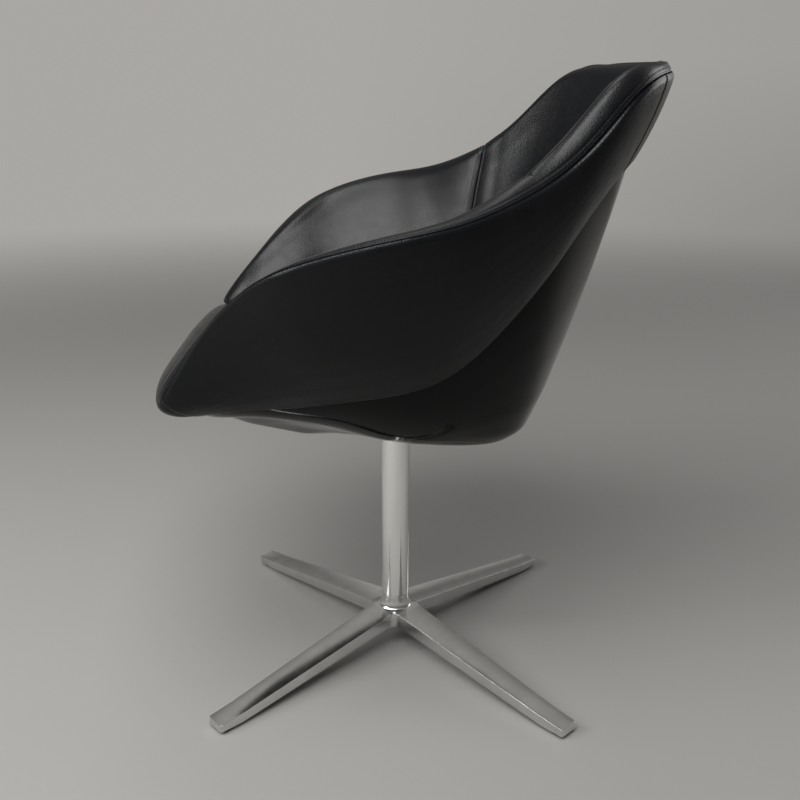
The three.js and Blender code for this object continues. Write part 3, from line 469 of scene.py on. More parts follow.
def ring_faces(across, up, closed=False):
    """The faces of a grid whose last column meets its first, and its last row its first if closed."""
    faces = []
    for column in range(across):
        here, there = column * up, ((column + 1) % across) * up
        faces += [[here + row, there + row, there + (row + 1) % up, here + (row + 1) % up]
                  for row in range(up if closed else up - 1)]
    return faces


def body_mesh(name, skin, back, faces, along, below, material):
    """A closed mesh: the skin's faces, the same faces on the back, and a strip round every border."""
    skin, back, along, below = skin.reshape(-1, 3), back.reshape(-1, 3), along.ravel(), below.ravel()
    count = len(skin)
    edges = {(a, b): True for face in faces for a, b in zip(face, face[1:] + face[:1])}
    border = [(a, b) for a, b in edges if (b, a) not in edges]
    closed = list(faces) + [[v + count for v in face[::-1]] for face in faces]
    closed += [[b, a, a + count, b + count] for a, b in border]
    places = np.vstack([skin, back]) + (0, shift_y, 0)
    mesh = bpy.data.meshes.new(name)
    mesh.from_pydata(places.tolist(), [], closed)
    mesh.update()
    corners = np.zeros((len(mesh.loops), 2), np.float32)
    order = np.zeros(len(mesh.loops), np.int32)
    mesh.loops.foreach_get("vertex_index", order)
    corners[:, 0] = np.concatenate([along, along])[order]
    corners[:, 1] = np.concatenate([below, below + back_offset])[order]
    mesh.uv_layers.new(name="seam").data.foreach_set("uv", corners.ravel())
    return finished_mesh(name, mesh, material)


def finished_mesh(name, mesh, material):
    """The mesh with its faces outwards, smooth and with its material, as an object."""
    if volume_of(mesh) < 0:
        mesh.flip_normals()
    mesh.shade_smooth()
    mesh.materials.append(material)
    return in_scene(name, mesh)


def volume_of(mesh):
    mesh.calc_loop_triangles()
    places = np.zeros(len(mesh.vertices) * 3, np.float32)
    mesh.vertices.foreach_get("co", places)
    corners = np.zeros(len(mesh.loop_triangles) * 3, np.int32)
    mesh.loop_triangles.foreach_get("vertices", corners)
    a, b, c = np.moveaxis(places.reshape(-1, 3)[corners.reshape(-1, 3)].astype(float), 1, 0)
    return float(np.sum(a * np.cross(b, c)) / 6)


# %% [markdown]
# ## Leather
# Chair leather is nearly black here, with a fine pebbled grain and a soft sheen. Three bumps make it: a
# cell pattern for the grain and noise for fine creases, in object coordinates so that their scale is
# true, and stretched noise for the puckers, which has all but faded a centimetre from the seam. In the
# seam's own groove the sheen is taken out: painted shade, standing in for the light that can't get in.

# %% Material helpers
def new_material(name, colour, roughness, metallic=0.0, **sockets):
    material = bpy.data.materials.new(name)
    material.use_nodes = True
    shader = material.node_tree.nodes["Principled BSDF"]
    shader.inputs["Base Color"].default_value = (*colour, 1)
    shader.inputs["Roughness"].default_value = roughness
    shader.inputs["Metallic"].default_value = metallic
    for socket, value in sockets.items():
        shader.inputs[socket.replace("_", " ")].default_value = value
    return material


def add_node(owner, kind, links=None, **values):
    """A node in a material, a world or a tree. Its inputs are values, or other nodes' sockets."""
    tree = getattr(owner, "node_tree", owner)
    node = tree.nodes.new(kind)
    for key, value in values.items():
        setattr(node, key, value)
    for name, value in (links or {}).items():
        if isinstance(value, bpy.types.NodeSocket):
            tree.links.new(value, node.inputs[name])
        else:
            node.inputs[name].default_value = value
    return node


def object_places(material, scale=(1, 1, 1)):
    places = add_node(material, "ShaderNodeTexCoord").outputs["Object"]
    return add_node(material, "ShaderNodeMapping", {"Vector": places, "Scale": scale}).outputs[0]


def noise(material, vector, scale, detail=3.0, roughness=0.5):
    return add_node(material, "ShaderNodeTexNoise", {"Vector": vector, "Scale": scale, "Detail": detail,
                                                     "Roughness": roughness}).outputs[0]


def ranged(material, value, low, high, start=0.3, end=0.7, kind="LINEAR"):
    return add_node(material, "ShaderNodeMapRange", {"Value": value, "From Min": start, "From Max": end,
                                                     "To Min": low, "To Max": high},
                    interpolation_type=kind).outputs[0]


def calculate(material, operation, first, second):
    return add_node(material, "ShaderNodeMath", {0: first, 1: second}, operation=operation).outputs[0]


def bumped(material, height, distance, strength=1.0, under=None):
    links = {"Height": height, "Distance": distance, "Strength": strength}
    if under is not None:
        links["Normal"] = under
    return add_node(material, "ShaderNodeBump", links).outputs[0]


def plug(material, socket, value):
    """Links a value to a socket of the material's shader."""
    material.node_tree.links.new(value, material.node_tree.nodes["Principled BSDF"].inputs[socket])


def tinted(material, value, dark, light):
    """A colour that moves between two tones with a value."""
    ramp = add_node(material, "ShaderNodeValToRGB", {0: value})
    ramp.color_ramp.elements[0].position, ramp.color_ramp.elements[1].position = 0.35, 0.65
    ramp.color_ramp.elements[0].color = (*dark, 1)
    ramp.color_ramp.elements[1].color = (*light, 1)
    plug(material, "Base Color", ramp.outputs[0])


def mottled(material, scale, low, high, detail=3.0):
    """Roughness that wanders between two values."""
    value = noise(material, object_places(material), scale, detail)
    plug(material, "Roughness", ranged(material, value, low, high))


def uneven(material, scale, distance, strength, detail=3.0):
    """A face that isn't quite flat."""
    value = noise(material, object_places(material), scale, detail)
    plug(material, "Normal", bumped(material, value, distance, strength))


# %% Leather
grain_scale, leather_sheen = 620.0, 0.25
leather = new_material("leather", (0.0024, 0.0028, 0.0036), 0.4, Specular_IOR_Level=leather_sheen)
place = object_places(leather)
patches = noise(leather, place, 9.0, 4.0)
tinted(leather, patches, (0.0015, 0.0019, 0.0027), (0.0025, 0.0031, 0.0041))
wobble = noise(leather, place, 420.0, 2.0)
bent = add_node(leather, "ShaderNodeVectorMath", {0: wobble, 1: (0.0009, 0.0009, 0.0009)},
                operation="MULTIPLY").outputs[0]
bent = add_node(leather, "ShaderNodeVectorMath", {0: place, 1: bent}, operation="ADD").outputs[0]
cells = add_node(leather, "ShaderNodeTexVoronoi", {"Vector": bent, "Scale": grain_scale},
                 feature="SMOOTH_F1").outputs[0]
grain = bumped(leather, calculate(leather, "MULTIPLY", cells, -1.0), 0.0004, 0.42)
creases = bumped(leather, noise(leather, place, 130.0, 5.0, 0.62), 0.0006, 0.18, grain)
seam_map = add_node(leather, "ShaderNodeUVMap", uv_map="seam").outputs[0]
stretched = add_node(leather, "ShaderNodeMapping", {"Vector": seam_map, "Scale": (330.0, 45.0, 1.0)})
puckers = noise(leather, stretched.outputs[0], 1.0, 2.0)
below = add_node(leather, "ShaderNodeSeparateXYZ", {0: seam_map}).outputs[1]
fade = calculate(leather, "EXPONENT", calculate(leather, "MULTIPLY", below, -240.0), 0.0)
puckered = bumped(leather, calculate(leather, "MULTIPLY", puckers, fade), 0.001, 0.5, creases)
plug(leather, "Normal", puckered)
# Painted shade: no sheen within 0.7 mm of the seam, full sheen from 1.5 mm, so the groove reads dark.
plug(leather, "Specular IOR Level", ranged(leather, below, 0.0, leather_sheen, 0.7 * MM, 1.5 * MM))
mottled(leather, 60.0, 0.28, 0.35, 5.0)
print("leather grain:", round(1000 / grain_scale, 2), "mm cells")

# %% [markdown]
# ## The inside pads and the outer panels
# Arms and back are one rule used three times, and so are the outer panels: a panel is its stations, a
# line per station, and what its edges do. The back pad gets slow waves beside its arm seams, where
# leather over foam folds softly, and a crown in the middle of its top.

# %% Build a panel from its lines
stitch_lines = []
thread_lift, turned_in = 0.12 * MM, 5 * MM
crown_height, crown_width, crown_reach = 5 * MM, 0.6, 70 * MM


def sew(skin, normals, *where):
    """Marks a stitch row on the skin, at a column and its rows or along one row."""
    stitch_lines.append(skin[where] + normals[where] * thread_lift)


def inside_lines(station):
    """A wall pad's line: up the inside, over the ridge and the band, and down to the seam."""
    band, ridge, inside = rim(station)
    rows = [parting(station)[0]] + [inside_wall(station, share) for share in (0.1, 0.34, 0.62, 0.86)]
    return np.stack(rows + [inside, ridge, band, seam_line(station)], 1)


def outside_lines(station):
    return np.stack([side(station, share, 0) for share in np.linspace(0, 1, 9)], 1)


def outside_back(station):
    """The back of an outer panel, which ends on the shell's edge."""
    top = below_seam(station, rim_drop)
    rows = [side(station, share, panel_thickness) for share in (0, 0.5 * top, top)]
    over = below_seam(station, over_edge)
    return np.stack(rows + [side(station, over, panel_thickness),
                            side(station, over, edge_middle - part_gap)], 1)


def back_rows(lines, count):
    return np.stack([rounded(line, 0.1 * MM, dense=count) for line in lines])


def ridge_softness(station, arm_soft=4.2 * MM, wing_crisper=2.9 * MM, wing_start=9.7, wing_end=12.2):
    """The ridge is a soft roll on the arms and a crisp fold up the wings."""
    at = folded(station)
    before, after = np.exp((wing_start - at) / 0.15), np.exp((at - wing_end) / 0.3)
    return arm_soft - wing_crisper / (1 + before) / (1 + after)


def panel_grid(start, end, softness, lines, backs, middle_rows):
    """A panel's columns, its rows, their distances from every edge, and its back."""
    station, from_start, from_end = columns(start, end)
    rows, low, high = cut_rows(lines(station), softness(station), edge_steps, seam_steps, middle_rows)
    back = back_rows(backs(station), rows.shape[1])
    ends = np.minimum(from_start, from_end)[:, None]
    along = np.broadcast_to(from_start[:, None], high.shape)
    return station, eased(rows, high, ends), low, high, ends, along, back


def finished_pad(name, skin, back, along, below):
    across, up = skin.shape[:2]
    print(name, across, "x", up, "columns and rows")
    return body_mesh(name, skin, back, grid_faces(across, up), along, below, leather)


def inside_pad(name, start, end):
    """An arm or back pad. Its far ends meet another pad, an arm's front end meets the seat."""
    station, rows, low, high, ends, along, back = panel_grid(
        start, end, ridge_softness, inside_lines, wall_back, 62)
    crown = crown_height * hump(folded(station) - back_middle, crown_width)[:, None]
    rows[..., 2] += crown * np.clip(1 - high / crown_reach, 0, 1) * grown_in(high, 12)
    normals = square_to(rows, back)
    far = np.where(np.arange(len(station)) < len(station) / 2, folded(start), folded(end))[:, None] > corner
    pull = sewn(ends, deep=2.9) * np.where(far, grown_in(high - 20 * MM, 8), 1)
    middle = grown_in(low, 50) * grown_in(high - 15 * MM, 40)
    pillow = 3.4 * fading(ends, 26) * middle * far
    front_fill = 3 * fading(ends, 25) * grown_in(high, 20) * grown_in(low, 50) * (1 - far)
    corner_fill = 1 - 0.85 * fading(ends, 15) * (1 - far)
    edge_dip = np.maximum(pull, turned_edge(low, turned_in) * corner_fill)
    rolled = turned_edge(high, 14 * MM, 6 * MM)
    dip = sewn(high, deep=2.3) + rolled + edge_dip + (pillow - front_fill) * MM
    swell = swelling(rows, 3, (0.14, 0.05))
    near_end = hump(ends - 35 * MM, 25 * MM) * (name == "back_pad")
    folds = 0.35 * waves(rows * (1, 1, 0.2), 0.045, 5) * near_end
    skin = rows + normals * ((swell + folds) * middle * MM - dip)[..., None]
    for row in stitch_rows:
        sew(skin, normals, slice(None), -1 - row)
    for column in both_ends:
        last = int((high[column] > 24 * MM).sum()) if far[column] else len(low[0]) - 6
        sew(skin, normals, column, slice(6, last))
    return finished_pad(name, skin, back, along, high)


arm_pad_left = inside_pad("arm_pad_left", corner, arm_back)
arm_pad_right = inside_pad("arm_pad_right", all_round - arm_back, all_round - corner)
back_pad = inside_pad("back_pad", arm_back, all_round - arm_back)

# %% [markdown]
# The outer panels are thinner and end on the shell. Along the top they have a full, round shoulder that
# catches the light below the seam, and only the seams beside the rear panel are topstitched.


# %% The outer panels
def outer_panel(name, start, end, seed):
    station, rows, low, high, ends, along, back = panel_grid(
        start, end, lambda station: np.full(len(station), MM), outside_lines, outside_back, 44)
    normals = square_to(rows, back)
    dip = shouldered(high) + sewn(ends, rows=(3,)) + turned_edge(low)
    swell = swelling(rows, seed, (0.12, 0.04)) * grown_in(low, 30)
    skin = rows + normals * (swell * MM - dip)[..., None]
    for column in both_ends[::2]:
        if abs(folded(station[column]) - side_rear) < 1:
            sew(skin, normals, column, slice(4, -6))
    return finished_pad(name, skin, back, along, high)


side_panel_left = outer_panel("side_panel_left", corner, side_rear, 13)
side_panel_right = outer_panel("side_panel_right", all_round - side_rear, all_round - corner, 15)
rear_panel = outer_panel("rear_panel", side_rear, all_round - side_rear, 18)

# %% [markdown]
# ## The seat
# The seat pad is a shallow crowned disc that parts from the arms and back in a soft crease. Between the
# two front corners there is no crease: its leather runs on over the front edge and down to the shell.
# So every column has disc rows, and the front ones carry on.

# %% The seat pad
seat_middle, seat_crown = np.array([0, 0, 0.452]), 5 * MM
disc_rows, front_rows = 64, 46


def on_seat(station, share):
    """A place on the plain seat, from its middle (0) to the crease (1)."""
    place = seat_middle + (crease_line(station) - seat_middle) * share
    place[:, 2] += (1 - share ** 4) * seat_crown
    return place


def seat_disc(station):
    """The seat from its middle to where it parts from the wall, rounded off at the crease."""
    lines = np.stack([on_seat(station, share) for share in (0, 0.4, 0.75, 0.95)] + [parting(station)[0]], 1)
    dense = disc_rows * 4
    every = np.linspace(0, dense - 1, disc_rows).astype(int)
    return np.stack([rounded(line, 6 * MM, dense=dense)[every] for line in lines])


def front_lines(station):
    """From the seat's middle over the front edge, and down the outside to the shell."""
    disc = [on_seat(station, share) for share in (0, 0.4, 0.75, 0.95, 1)]
    band, ridge, inside = rim(station)
    wall = [inside_wall(station, share) for share in (0.34, 0.7)] + [inside, ridge, band]
    outer = [side(station, share, 0) for share in (1, 0.78, 0.5, 0.25, 0)]
    return np.stack(disc + wall + outer, 1)


def seat_front(station):
    """The front's rows, first to where the crease would be, then over the edge, and what is left below."""
    skins, to_edge = [], []
    for line in front_lines(station):
        places = rounded(line, 9 * MM, dense=500)
        marks = marks_of(places)
        crease_mark = marks[np.linalg.norm(places - line[4], axis=1).argmin()]
        over = np.linspace(crease_mark, marks[-1] - edge_steps[-1], front_rows - len(edge_steps) + 1)
        at = np.concatenate([np.linspace(0, crease_mark, disc_rows), over[1:],
                             marks[-1] - edge_steps[-2::-1]])
        skins.append(places_at(at, marks, places))
        to_edge.append(marks[-1] - at)
    return np.array(skins), np.array(to_edge)


def disc_back(station):
    """The seat's underside: from the pan's middle along the shell's face to the parting."""
    _, foot, face = parting(station)
    low, marks = foot_share(station), shares_of(face)
    rows = [place_along(face, np.minimum(marks[:, i], low)) for i in range(6)]
    pan = np.broadcast_to(np.array([0, 0, pan_height + shell_thickness + pad_seat]), foot.shape)
    return np.stack([pan] + rows + [foot], 1)


def over_the_front(tongue, normals, ends, below):
    """The leather over the front edge, stuffed and sewn down at its sides, with its stitch rows."""
    dip = sewn(ends) * np.clip(below / (14 * MM), 0.25, 1) + turned_edge(below)
    fade = 1 - hump(ends, 45 * MM)
    share = np.clip(below / below[:, :1], 0, 1)
    full = 6.5 * MM * (0.2 + 0.8 * fade) * np.sin(np.pi * share ** 0.6)
    wavy = 0.3 * waves(tongue, 0.09, 33) * fade * MM
    skin = tongue + normals * (full + wavy - dip)[..., None]
    for column in both_ends:
        sew(skin, normals, column, slice(4, -7))
    return skin


def seat_faces(ring_count, front_count, over_rows):
    """A fan at the middle, the ring's squares, and those of the front columns that carry on."""
    up = disc_rows - 1

    def at(column, row):
        return 1 + (column % ring_count) * up + row

    def over(column, row):
        return 1 + ring_count * up + column * over_rows + row

    def squares(where, column, rows):
        return [[where(column, row + 1), where(column + 1, row + 1), where(column + 1, row),
                 where(column, row)] for row in range(rows - 1)]
    faces = [[0, at(column, 0), at(column + 1, 0)] for column in range(ring_count)]
    for column in range(ring_count):
        faces += squares(at, column, up)
    for column in range(front_count - 1):
        faces.append([over(column, 0), over(column + 1, 0), at(column + 1, up - 1), at(column, up - 1)])
        faces += squares(over, column, over_rows)
    return faces


def seat_pad():
    around, from_corner, to_corner = columns(corner, all_round - corner)
    front, from_left, to_right = columns(-corner, corner)
    skin_front, to_edge = seat_front(front)
    skin_disc = seat_disc(around[1:-1])
    over_back = np.concatenate([wall_back(front)[:, 1:], outside_back(front)[:, ::-1]], 1)
    back_front = np.concatenate([back_rows(disc_back(front), disc_rows),
                                 back_rows(over_back, skin_front.shape[1] - disc_rows)], 1)
    for near, column in ((from_corner, -1), (to_corner, 0)):
        weight = hump(near[1:-1], 6 * MM)[:, None, None]
        skin_disc = skin_disc * (1 - weight) + skin_front[column, :disc_rows][None] * weight
    ring = np.concatenate([skin_front[:, :disc_rows], skin_disc])
    ring_back = np.concatenate([back_front[:, :disc_rows],
                                back_rows(disc_back(around[1:-1]), disc_rows)])
    normals = square_to(ring, ring_back)
    normals[:, :4] = (0, 0, 1)
    ring += normals * (swelling(ring, 31, (0.18, 0.06), (0.8, 0.15)) * MM)[..., None]
    ends = np.minimum(from_left, to_right)[:, None]
    tongue = over_the_front(skin_front[:, disc_rows:], square_to(skin_front, back_front)[:, disc_rows:],
                            ends, to_edge[:, disc_rows:])
    skin, back = [np.vstack([disc[:, 0].mean(0)[None], disc[:, 1:].reshape(-1, 3), flap.reshape(-1, 3)])
                  for disc, flap in ((ring, tongue), (ring_back, back_front[:, disc_rows:]))]
    faces = seat_faces(len(ring), len(front), tongue.shape[1])
    on_disc = len(skin) - tongue[..., 0].size
    down = np.broadcast_to(np.linspace(0, 0.1, tongue.shape[1]), tongue.shape[:2])
    along = np.concatenate([[0], np.repeat(np.arange(len(ring)) * 3 * MM, disc_rows - 1), down.ravel()])
    apart = np.concatenate([np.ones(on_disc), np.broadcast_to(ends, tongue.shape[:2]).ravel()])
    print("seat_pad", len(skin), "points")
    return body_mesh("seat_pad", skin, back, faces, along, apart, leather)


seat = seat_pad()

# %% [markdown]
# ## Stitches
# The thread is black and thick, in stitches 3.4 mm apart. Geometry Nodes suit them well: the
# stitch rows are plain lines, and the tree sets one small stitch on each point along them. The inputs
# are named, so the thread can be changed in one place. Realize Instances turns them into real mesh.

# %% Thread and stitch tree
sphere_segments, sphere_rings, unevenness = 8, 5, 0.07
thread = new_material("thread", (0.01, 0.01, 0.011), 0.45, Specular_IOR_Level=0.4)
uneven(thread, 3000.0, 0.0002, 0.5)


def stitch_tree():
    tree = bpy.data.node_groups.new("stitch rows", "GeometryNodeTree")
    tree.is_modifier = True
    tree.interface.new_socket("Geometry", in_out="OUTPUT", socket_type="NodeSocketGeometry")
    for label, kind, value in (("Geometry", "Geometry", None), ("Spacing", "Float", 3.4 * MM),
                               ("Length", "Float", 2.6 * MM), ("Thickness", "Float", 0.8 * MM),
                               ("Seed", "Int", 4), ("Thread", "Material", None)):
        socket = tree.interface.new_socket(label, in_out="INPUT", socket_type="NodeSocket" + kind)
        if value is not None:
            socket.default_value = value
    given = add_node(tree, "NodeGroupInput").outputs
    rows = add_node(tree, "GeometryNodeMeshToCurve", {"Mesh": given["Geometry"]}).outputs["Curve"]
    spaced = add_node(tree, "GeometryNodeResampleCurve", {"Curve": rows, "Length": given["Spacing"]},
                      mode="LENGTH").outputs["Curve"]
    ball = add_node(tree, "GeometryNodeMeshUVSphere", {
        "Segments": sphere_segments, "Rings": sphere_rings, "Radius": 0.5}).outputs["Mesh"]
    size = add_node(tree, "ShaderNodeCombineXYZ", {
        "X": given["Thickness"], "Y": given["Thickness"], "Z": given["Length"]}).outputs[0]
    tangent = add_node(tree, "GeometryNodeInputTangent").outputs[0]
    jitter = add_node(tree, "FunctionNodeRandomValue", {
        0: (-unevenness,) * 3, 1: (unevenness,) * 3, "Seed": given["Seed"]},
        data_type="FLOAT_VECTOR").outputs[0]
    way = add_node(tree, "ShaderNodeVectorMath", {0: tangent, 1: jitter}).outputs[0]
    aim = add_node(tree, "FunctionNodeAlignRotationToVector", {"Vector": way}, axis="Z").outputs[0]
    stitches = add_node(tree, "GeometryNodeInstanceOnPoints", {
        "Points": spaced, "Instance": ball, "Rotation": aim, "Scale": size}).outputs[0]
    real = add_node(tree, "GeometryNodeRealizeInstances", {0: stitches}).outputs[0]
    smooth = add_node(tree, "GeometryNodeSetShadeSmooth", {0: real}).outputs[0]
    painted = add_node(tree, "GeometryNodeSetMaterial", {"Geometry": smooth, "Material": given["Thread"]})
    add_node(tree, "NodeGroupOutput", {0: painted.outputs[0]})
    return tree


# %% Sew the rows
def result_of(piece):
    """A plain mesh of the piece with its modifiers in effect."""
    evaluated = piece.evaluated_get(bpy.context.evaluated_depsgraph_get())
    return bpy.data.meshes.new_from_object(evaluated)


def grown(tree, source, values):
    """The tree's result on a source object, as a plain mesh; the source is removed."""
    modifier = source.modifiers.new("grow", "NODES")
    modifier.node_group = tree
    for item in tree.interface.items_tree:
        if item.in_out == "INPUT" and item.name in values:
            modifier[item.identifier] = values[item.name]
    mesh, name = result_of(source), source.name
    bpy.data.objects.remove(source)
    mesh.name = name
    return in_scene(name, mesh)


def line_object(name, lines):
    """Broken lines as an object that has only edges."""
    places, edges = [], []
    for line in lines:
        edges += [(len(places) + i, len(places) + i + 1) for i in range(len(line) - 1)]
        places += (np.array(line) + (0, shift_y, 0)).tolist()
    mesh = bpy.data.meshes.new(name)
    mesh.from_pydata(places, edges, [])
    return in_scene(name, mesh)


stitching = grown(stitch_tree(), line_object("stitching", stitch_lines), {"Thread": thread})
print("stitches:", len(stitching.data.polygons) // (sphere_segments * sphere_rings))

# %% [markdown]
# ## The gloss shell
# Under the leather sits one glossy moulding. It is flat where it meets the column, turns up at a keel
# and rises to the leather's edge. It needs a fine, even mesh, because a mirror-like surface shows
# every facet.

# %% The lower shell
gloss_black = new_material("gloss_black", (0.0012, 0.0013, 0.0015), 0.06, Specular_IOR_Level=0.17)
mottled(gloss_black, 35.0, 0.045, 0.1, 5.0)
uneven(gloss_black, 18.0, 0.0002, 0.25, 1.0)


belly_depth, keel_sharpness, shell_columns, shell_rows = 0.016, 0.55, 520, 84
collar_radius, flat_radius, landing_radius = 0.0215, 0.05, 0.065


def shell_lines(station):
    """From the hole for the column, out over the flat and the belly, round the keel and up the flank."""
    keel = keel_line(station)
    way = unit(keel * (1, 1, 0))
    collar, flat, landing = [way * radius + (0, 0, underside)
                             for radius in (collar_radius, flat_radius, landing_radius)]
    after = flank(station, 0.2, 0)
    down = unit(np.cross(run_of(keel_line, station), keel - landing))
    belly = belly_share(station)[:, None] * belly_depth * down
    low, before = keel + (landing - keel) * 0.6 + belly, keel + (landing - keel) * 0.2 + belly * 0.7
    rounded_keel = (before + after) / 2 * (1 - keel_sharpness) + keel * keel_sharpness
    rise = [flank(station, share, 0) for share in (0.4, 0.6, 0.8, 0.9, 1)]
    return np.stack([collar, flat, landing, low, before, rounded_keel, after] + rise, 1)


def gloss_shell():
    station = np.arange(0, all_round, all_round / shell_columns)
    low, high = np.array([0, 0.3, 0.8, 2]) * MM, np.array([0, 0.25, 0.6, 1, 1.6, 3]) * MM
    soft = np.full(len(station), 6.5 * MM)
    rows, from_low, from_high = cut_rows(shell_lines(station), soft, low, high, shell_rows)
    normals = unit(np.cross(np.roll(rows, -1, 0) - np.roll(rows, 1, 0), np.gradient(rows, axis=1)))
    normals *= np.sign(np.sum(normals[:, -20:] * (rows[:, -20:] - (0, 0, 0.5))))
    inner = rows - normals * lower_thickness
    skin = rows - normals * (turned_edge(from_high, 1.2 * MM) + turned_edge(from_low, 0.6 * MM))[..., None]
    plain = np.zeros(rows.shape[:2])
    return body_mesh("gloss_shell", skin, inner, ring_faces(*plain.shape), plain, plain, gloss_black)


shell = gloss_shell()
print("gloss shell points:", len(shell.data.vertices))

# %% [markdown]
# ## Polished metal
# The column is a polished tube. The base is a casting that was ground and polished, so its faces are a
# little cloudy and its edges bright. Both are metals of high reflectance, so most of their look is the
# floor and the studio in them, and a slow unevenness keeps those reflections from being perfect.

# %% Metal finishes
tube_metal = new_material("polished_steel", (0.92, 0.92, 0.905), 0.14, 1.0)
tube_place = object_places(tube_metal, (1, 1, 0.02))
brushed = noise(tube_metal, tube_place, 900.0, 3.0)
plug(tube_metal, "Roughness", ranged(tube_metal, brushed, 0.1, 0.2))
plug(tube_metal, "Normal", bumped(tube_metal, brushed, 0.0001, 0.12))
cast_metal = new_material("polished_casting", (0.56, 0.565, 0.57), 0.24, 1.0)
cloud = noise(cast_metal, object_places(cast_metal), 30.0, 6.0, 0.62)
tinted(cast_metal, cloud, (0.64, 0.645, 0.64), (0.72, 0.725, 0.715))
mottled(cast_metal, 45.0, 0.17, 0.23)
uneven(cast_metal, 11.0, 0.0003, 0.05, 1.0)
print("metals:", tube_metal.name, cast_metal.name)

# %% [markdown]
# The casting's shape is right in the frame: a copy of it is merged, its flat faces are joined again, and
# a bevel of about two millimetres rounds every sharp edge. The tube is turned afresh with small edges.


# %% The casting and the tube
def rejoined(source, name):
    """A copy of a frame node's mesh whose flat faces are whole again."""
    shape = bmesh.new()
    shape.from_mesh(frame["nodes"][source].data)
    bmesh.ops.remove_doubles(shape, verts=shape.verts, dist=0.01 * MM)
    bmesh.ops.dissolve_limit(shape, angle_limit=math.radians(1), verts=shape.verts, edges=shape.edges)
    mesh = bpy.data.meshes.new(name)
    shape.to_mesh(mesh)
    shape.free()
    return mesh


def cast_base():
    piece = in_scene("cast_base", rejoined("base_casting", "cast_base"))
    bevel = piece.modifiers.new("edges", "BEVEL")
    bevel.width, bevel.segments, bevel.limit_method = 2.2 * MM, 5, "ANGLE"
    bevel.angle_limit, bevel.harden_normals = math.radians(32), True
    mesh = result_of(piece)
    piece.modifiers.clear()
    mesh.materials.append(cast_metal)
    mesh.shade_smooth()
    mesh.set_sharp_from_angle(angle=math.radians(34))
    piece.data = mesh
    return piece


casting = cast_base()
print("casting:", len(casting.data.polygons), "faces")


def lathe(name, outline, material, centre_y, segments=128):
    """A turned piece from radius and height pairs, closed on itself."""
    turn = np.linspace(0, 2 * np.pi, segments, endpoint=False)
    places = [(radius * np.cos(angle), centre_y + radius * np.sin(angle), height)
              for angle in turn for radius, height in outline]
    mesh = bpy.data.meshes.new(name)
    mesh.from_pydata(places, [], ring_faces(segments, len(outline), closed=True))
    mesh.update()
    piece = finished_mesh(name, mesh, material)
    mesh.set_sharp_from_angle(angle=math.radians(40))
    return piece


tube_bottom, tube_top, tube_radius, bore_radius, edge = 0.0788, 0.352, 0.020, 0.017, 0.5 * MM
tube = lathe("column_pipe", [(bore_radius, tube_bottom), (tube_radius - edge, tube_bottom),
                             (tube_radius, tube_bottom + edge), (tube_radius, tube_top - edge),
                             (tube_radius - edge, tube_top), (bore_radius, tube_top)], tube_metal, shift_y)
print("tube:", tube_radius * 2000, "mm outside,", round((tube_top - tube_bottom) * 1000, 1), "mm long")

# %% [markdown]
# ## The small pieces
# Bolts, bushes, glides and the hidden shell keep their shapes from the frame. Each still gets a finish
# of its own: zinc and black steel with a faint mottling, waxy bush plastic, grained black plastic and
# dark stained wood with long fibres.

# %% Finishes of the small pieces
zinc = new_material("zinc_steel", (0.5, 0.51, 0.53), 0.35, 1.0)
mottled(zinc, 260.0, 0.26, 0.48, 4.0)
black_plastic = new_material("black_plastic", (0.02, 0.02, 0.021), 0.5)
uneven(black_plastic, 1500.0, 0.0002, 0.4)
bush_plastic = new_material("bush_plastic", (0.72, 0.71, 0.67), 0.45)
mottled(bush_plastic, 200.0, 0.38, 0.52)
plywood = new_material("plywood", (0.05, 0.04, 0.032), 0.6)
tinted(plywood, noise(plywood, object_places(plywood, (1, 8, 8)), 12.0, 5.0), (0.035, 0.028, 0.022),
       (0.07, 0.055, 0.042))
black_steel = new_material("black_steel", (0.02, 0.02, 0.02), 0.4, 0.6)
mottled(black_steel, 300.0, 0.32, 0.5)
finish_of = {"zinc_steel": zinc, "black_plastic": black_plastic, "bush_plastic": bush_plastic,
             "plywood": plywood, "black_steel": black_steel, "polished_steel": tube_metal,
             "polished_casting": cast_metal, "leather": leather, "foam": bush_plastic,
             "gloss_shell": gloss_black}
slot_of = {part["node"]: part["material_slot"] for part in frame["record"]["subparts"]}
for node, piece in frame["nodes"].items():
    piece.data.materials.clear()
    piece.data.materials.append(finish_of[slot_of[node]])
print("finished", len(frame["nodes"]), "frame nodes in", len(set(slot_of.values())), "finishes")

# %% [markdown]
# ## Which body carries what
# Everything above the thrust washer turns with the seat. Each new piece rides on its body and takes the
# place of the frame nodes that it stands for. The stitches stand for no node.

# %% Ride and replace
standing_for = {
    arm_pad_left: ("arm_cover_left", "arm_foam_left"), arm_pad_right: ("arm_cover_right", "arm_foam_right"),
    back_pad: ("back_cover", "back_foam"), seat: ("seat_cover", "seat_foam"),
    side_panel_left: ("side_cover_left", "side_foam_left"),
    side_panel_right: ("side_cover_right", "side_foam_right"), rear_panel: ("rear_cover", "rear_foam")}
for piece, nodes in standing_for.items():
    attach(piece, "seat")
    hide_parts(*nodes)
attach(stitching, "seat")
for piece, node, body, slot in ((shell, "lower_shell", "seat", "gloss_shell"),
                                (casting, "base_casting", "base", "polished_casting"),
                                (tube, "column_tube", "base", "polished_steel")):
    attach(piece, body)
    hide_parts(node)
print("new pieces on the seat and the base:", len(standing_for) + 4)

# %% [markdown]
# ## Floor
# A plain pale floor fades into the background a few metres out, so no horizon line cuts the picture. The
# fade is in its alpha, from one radius to another, and it keeps the chair's shadow.

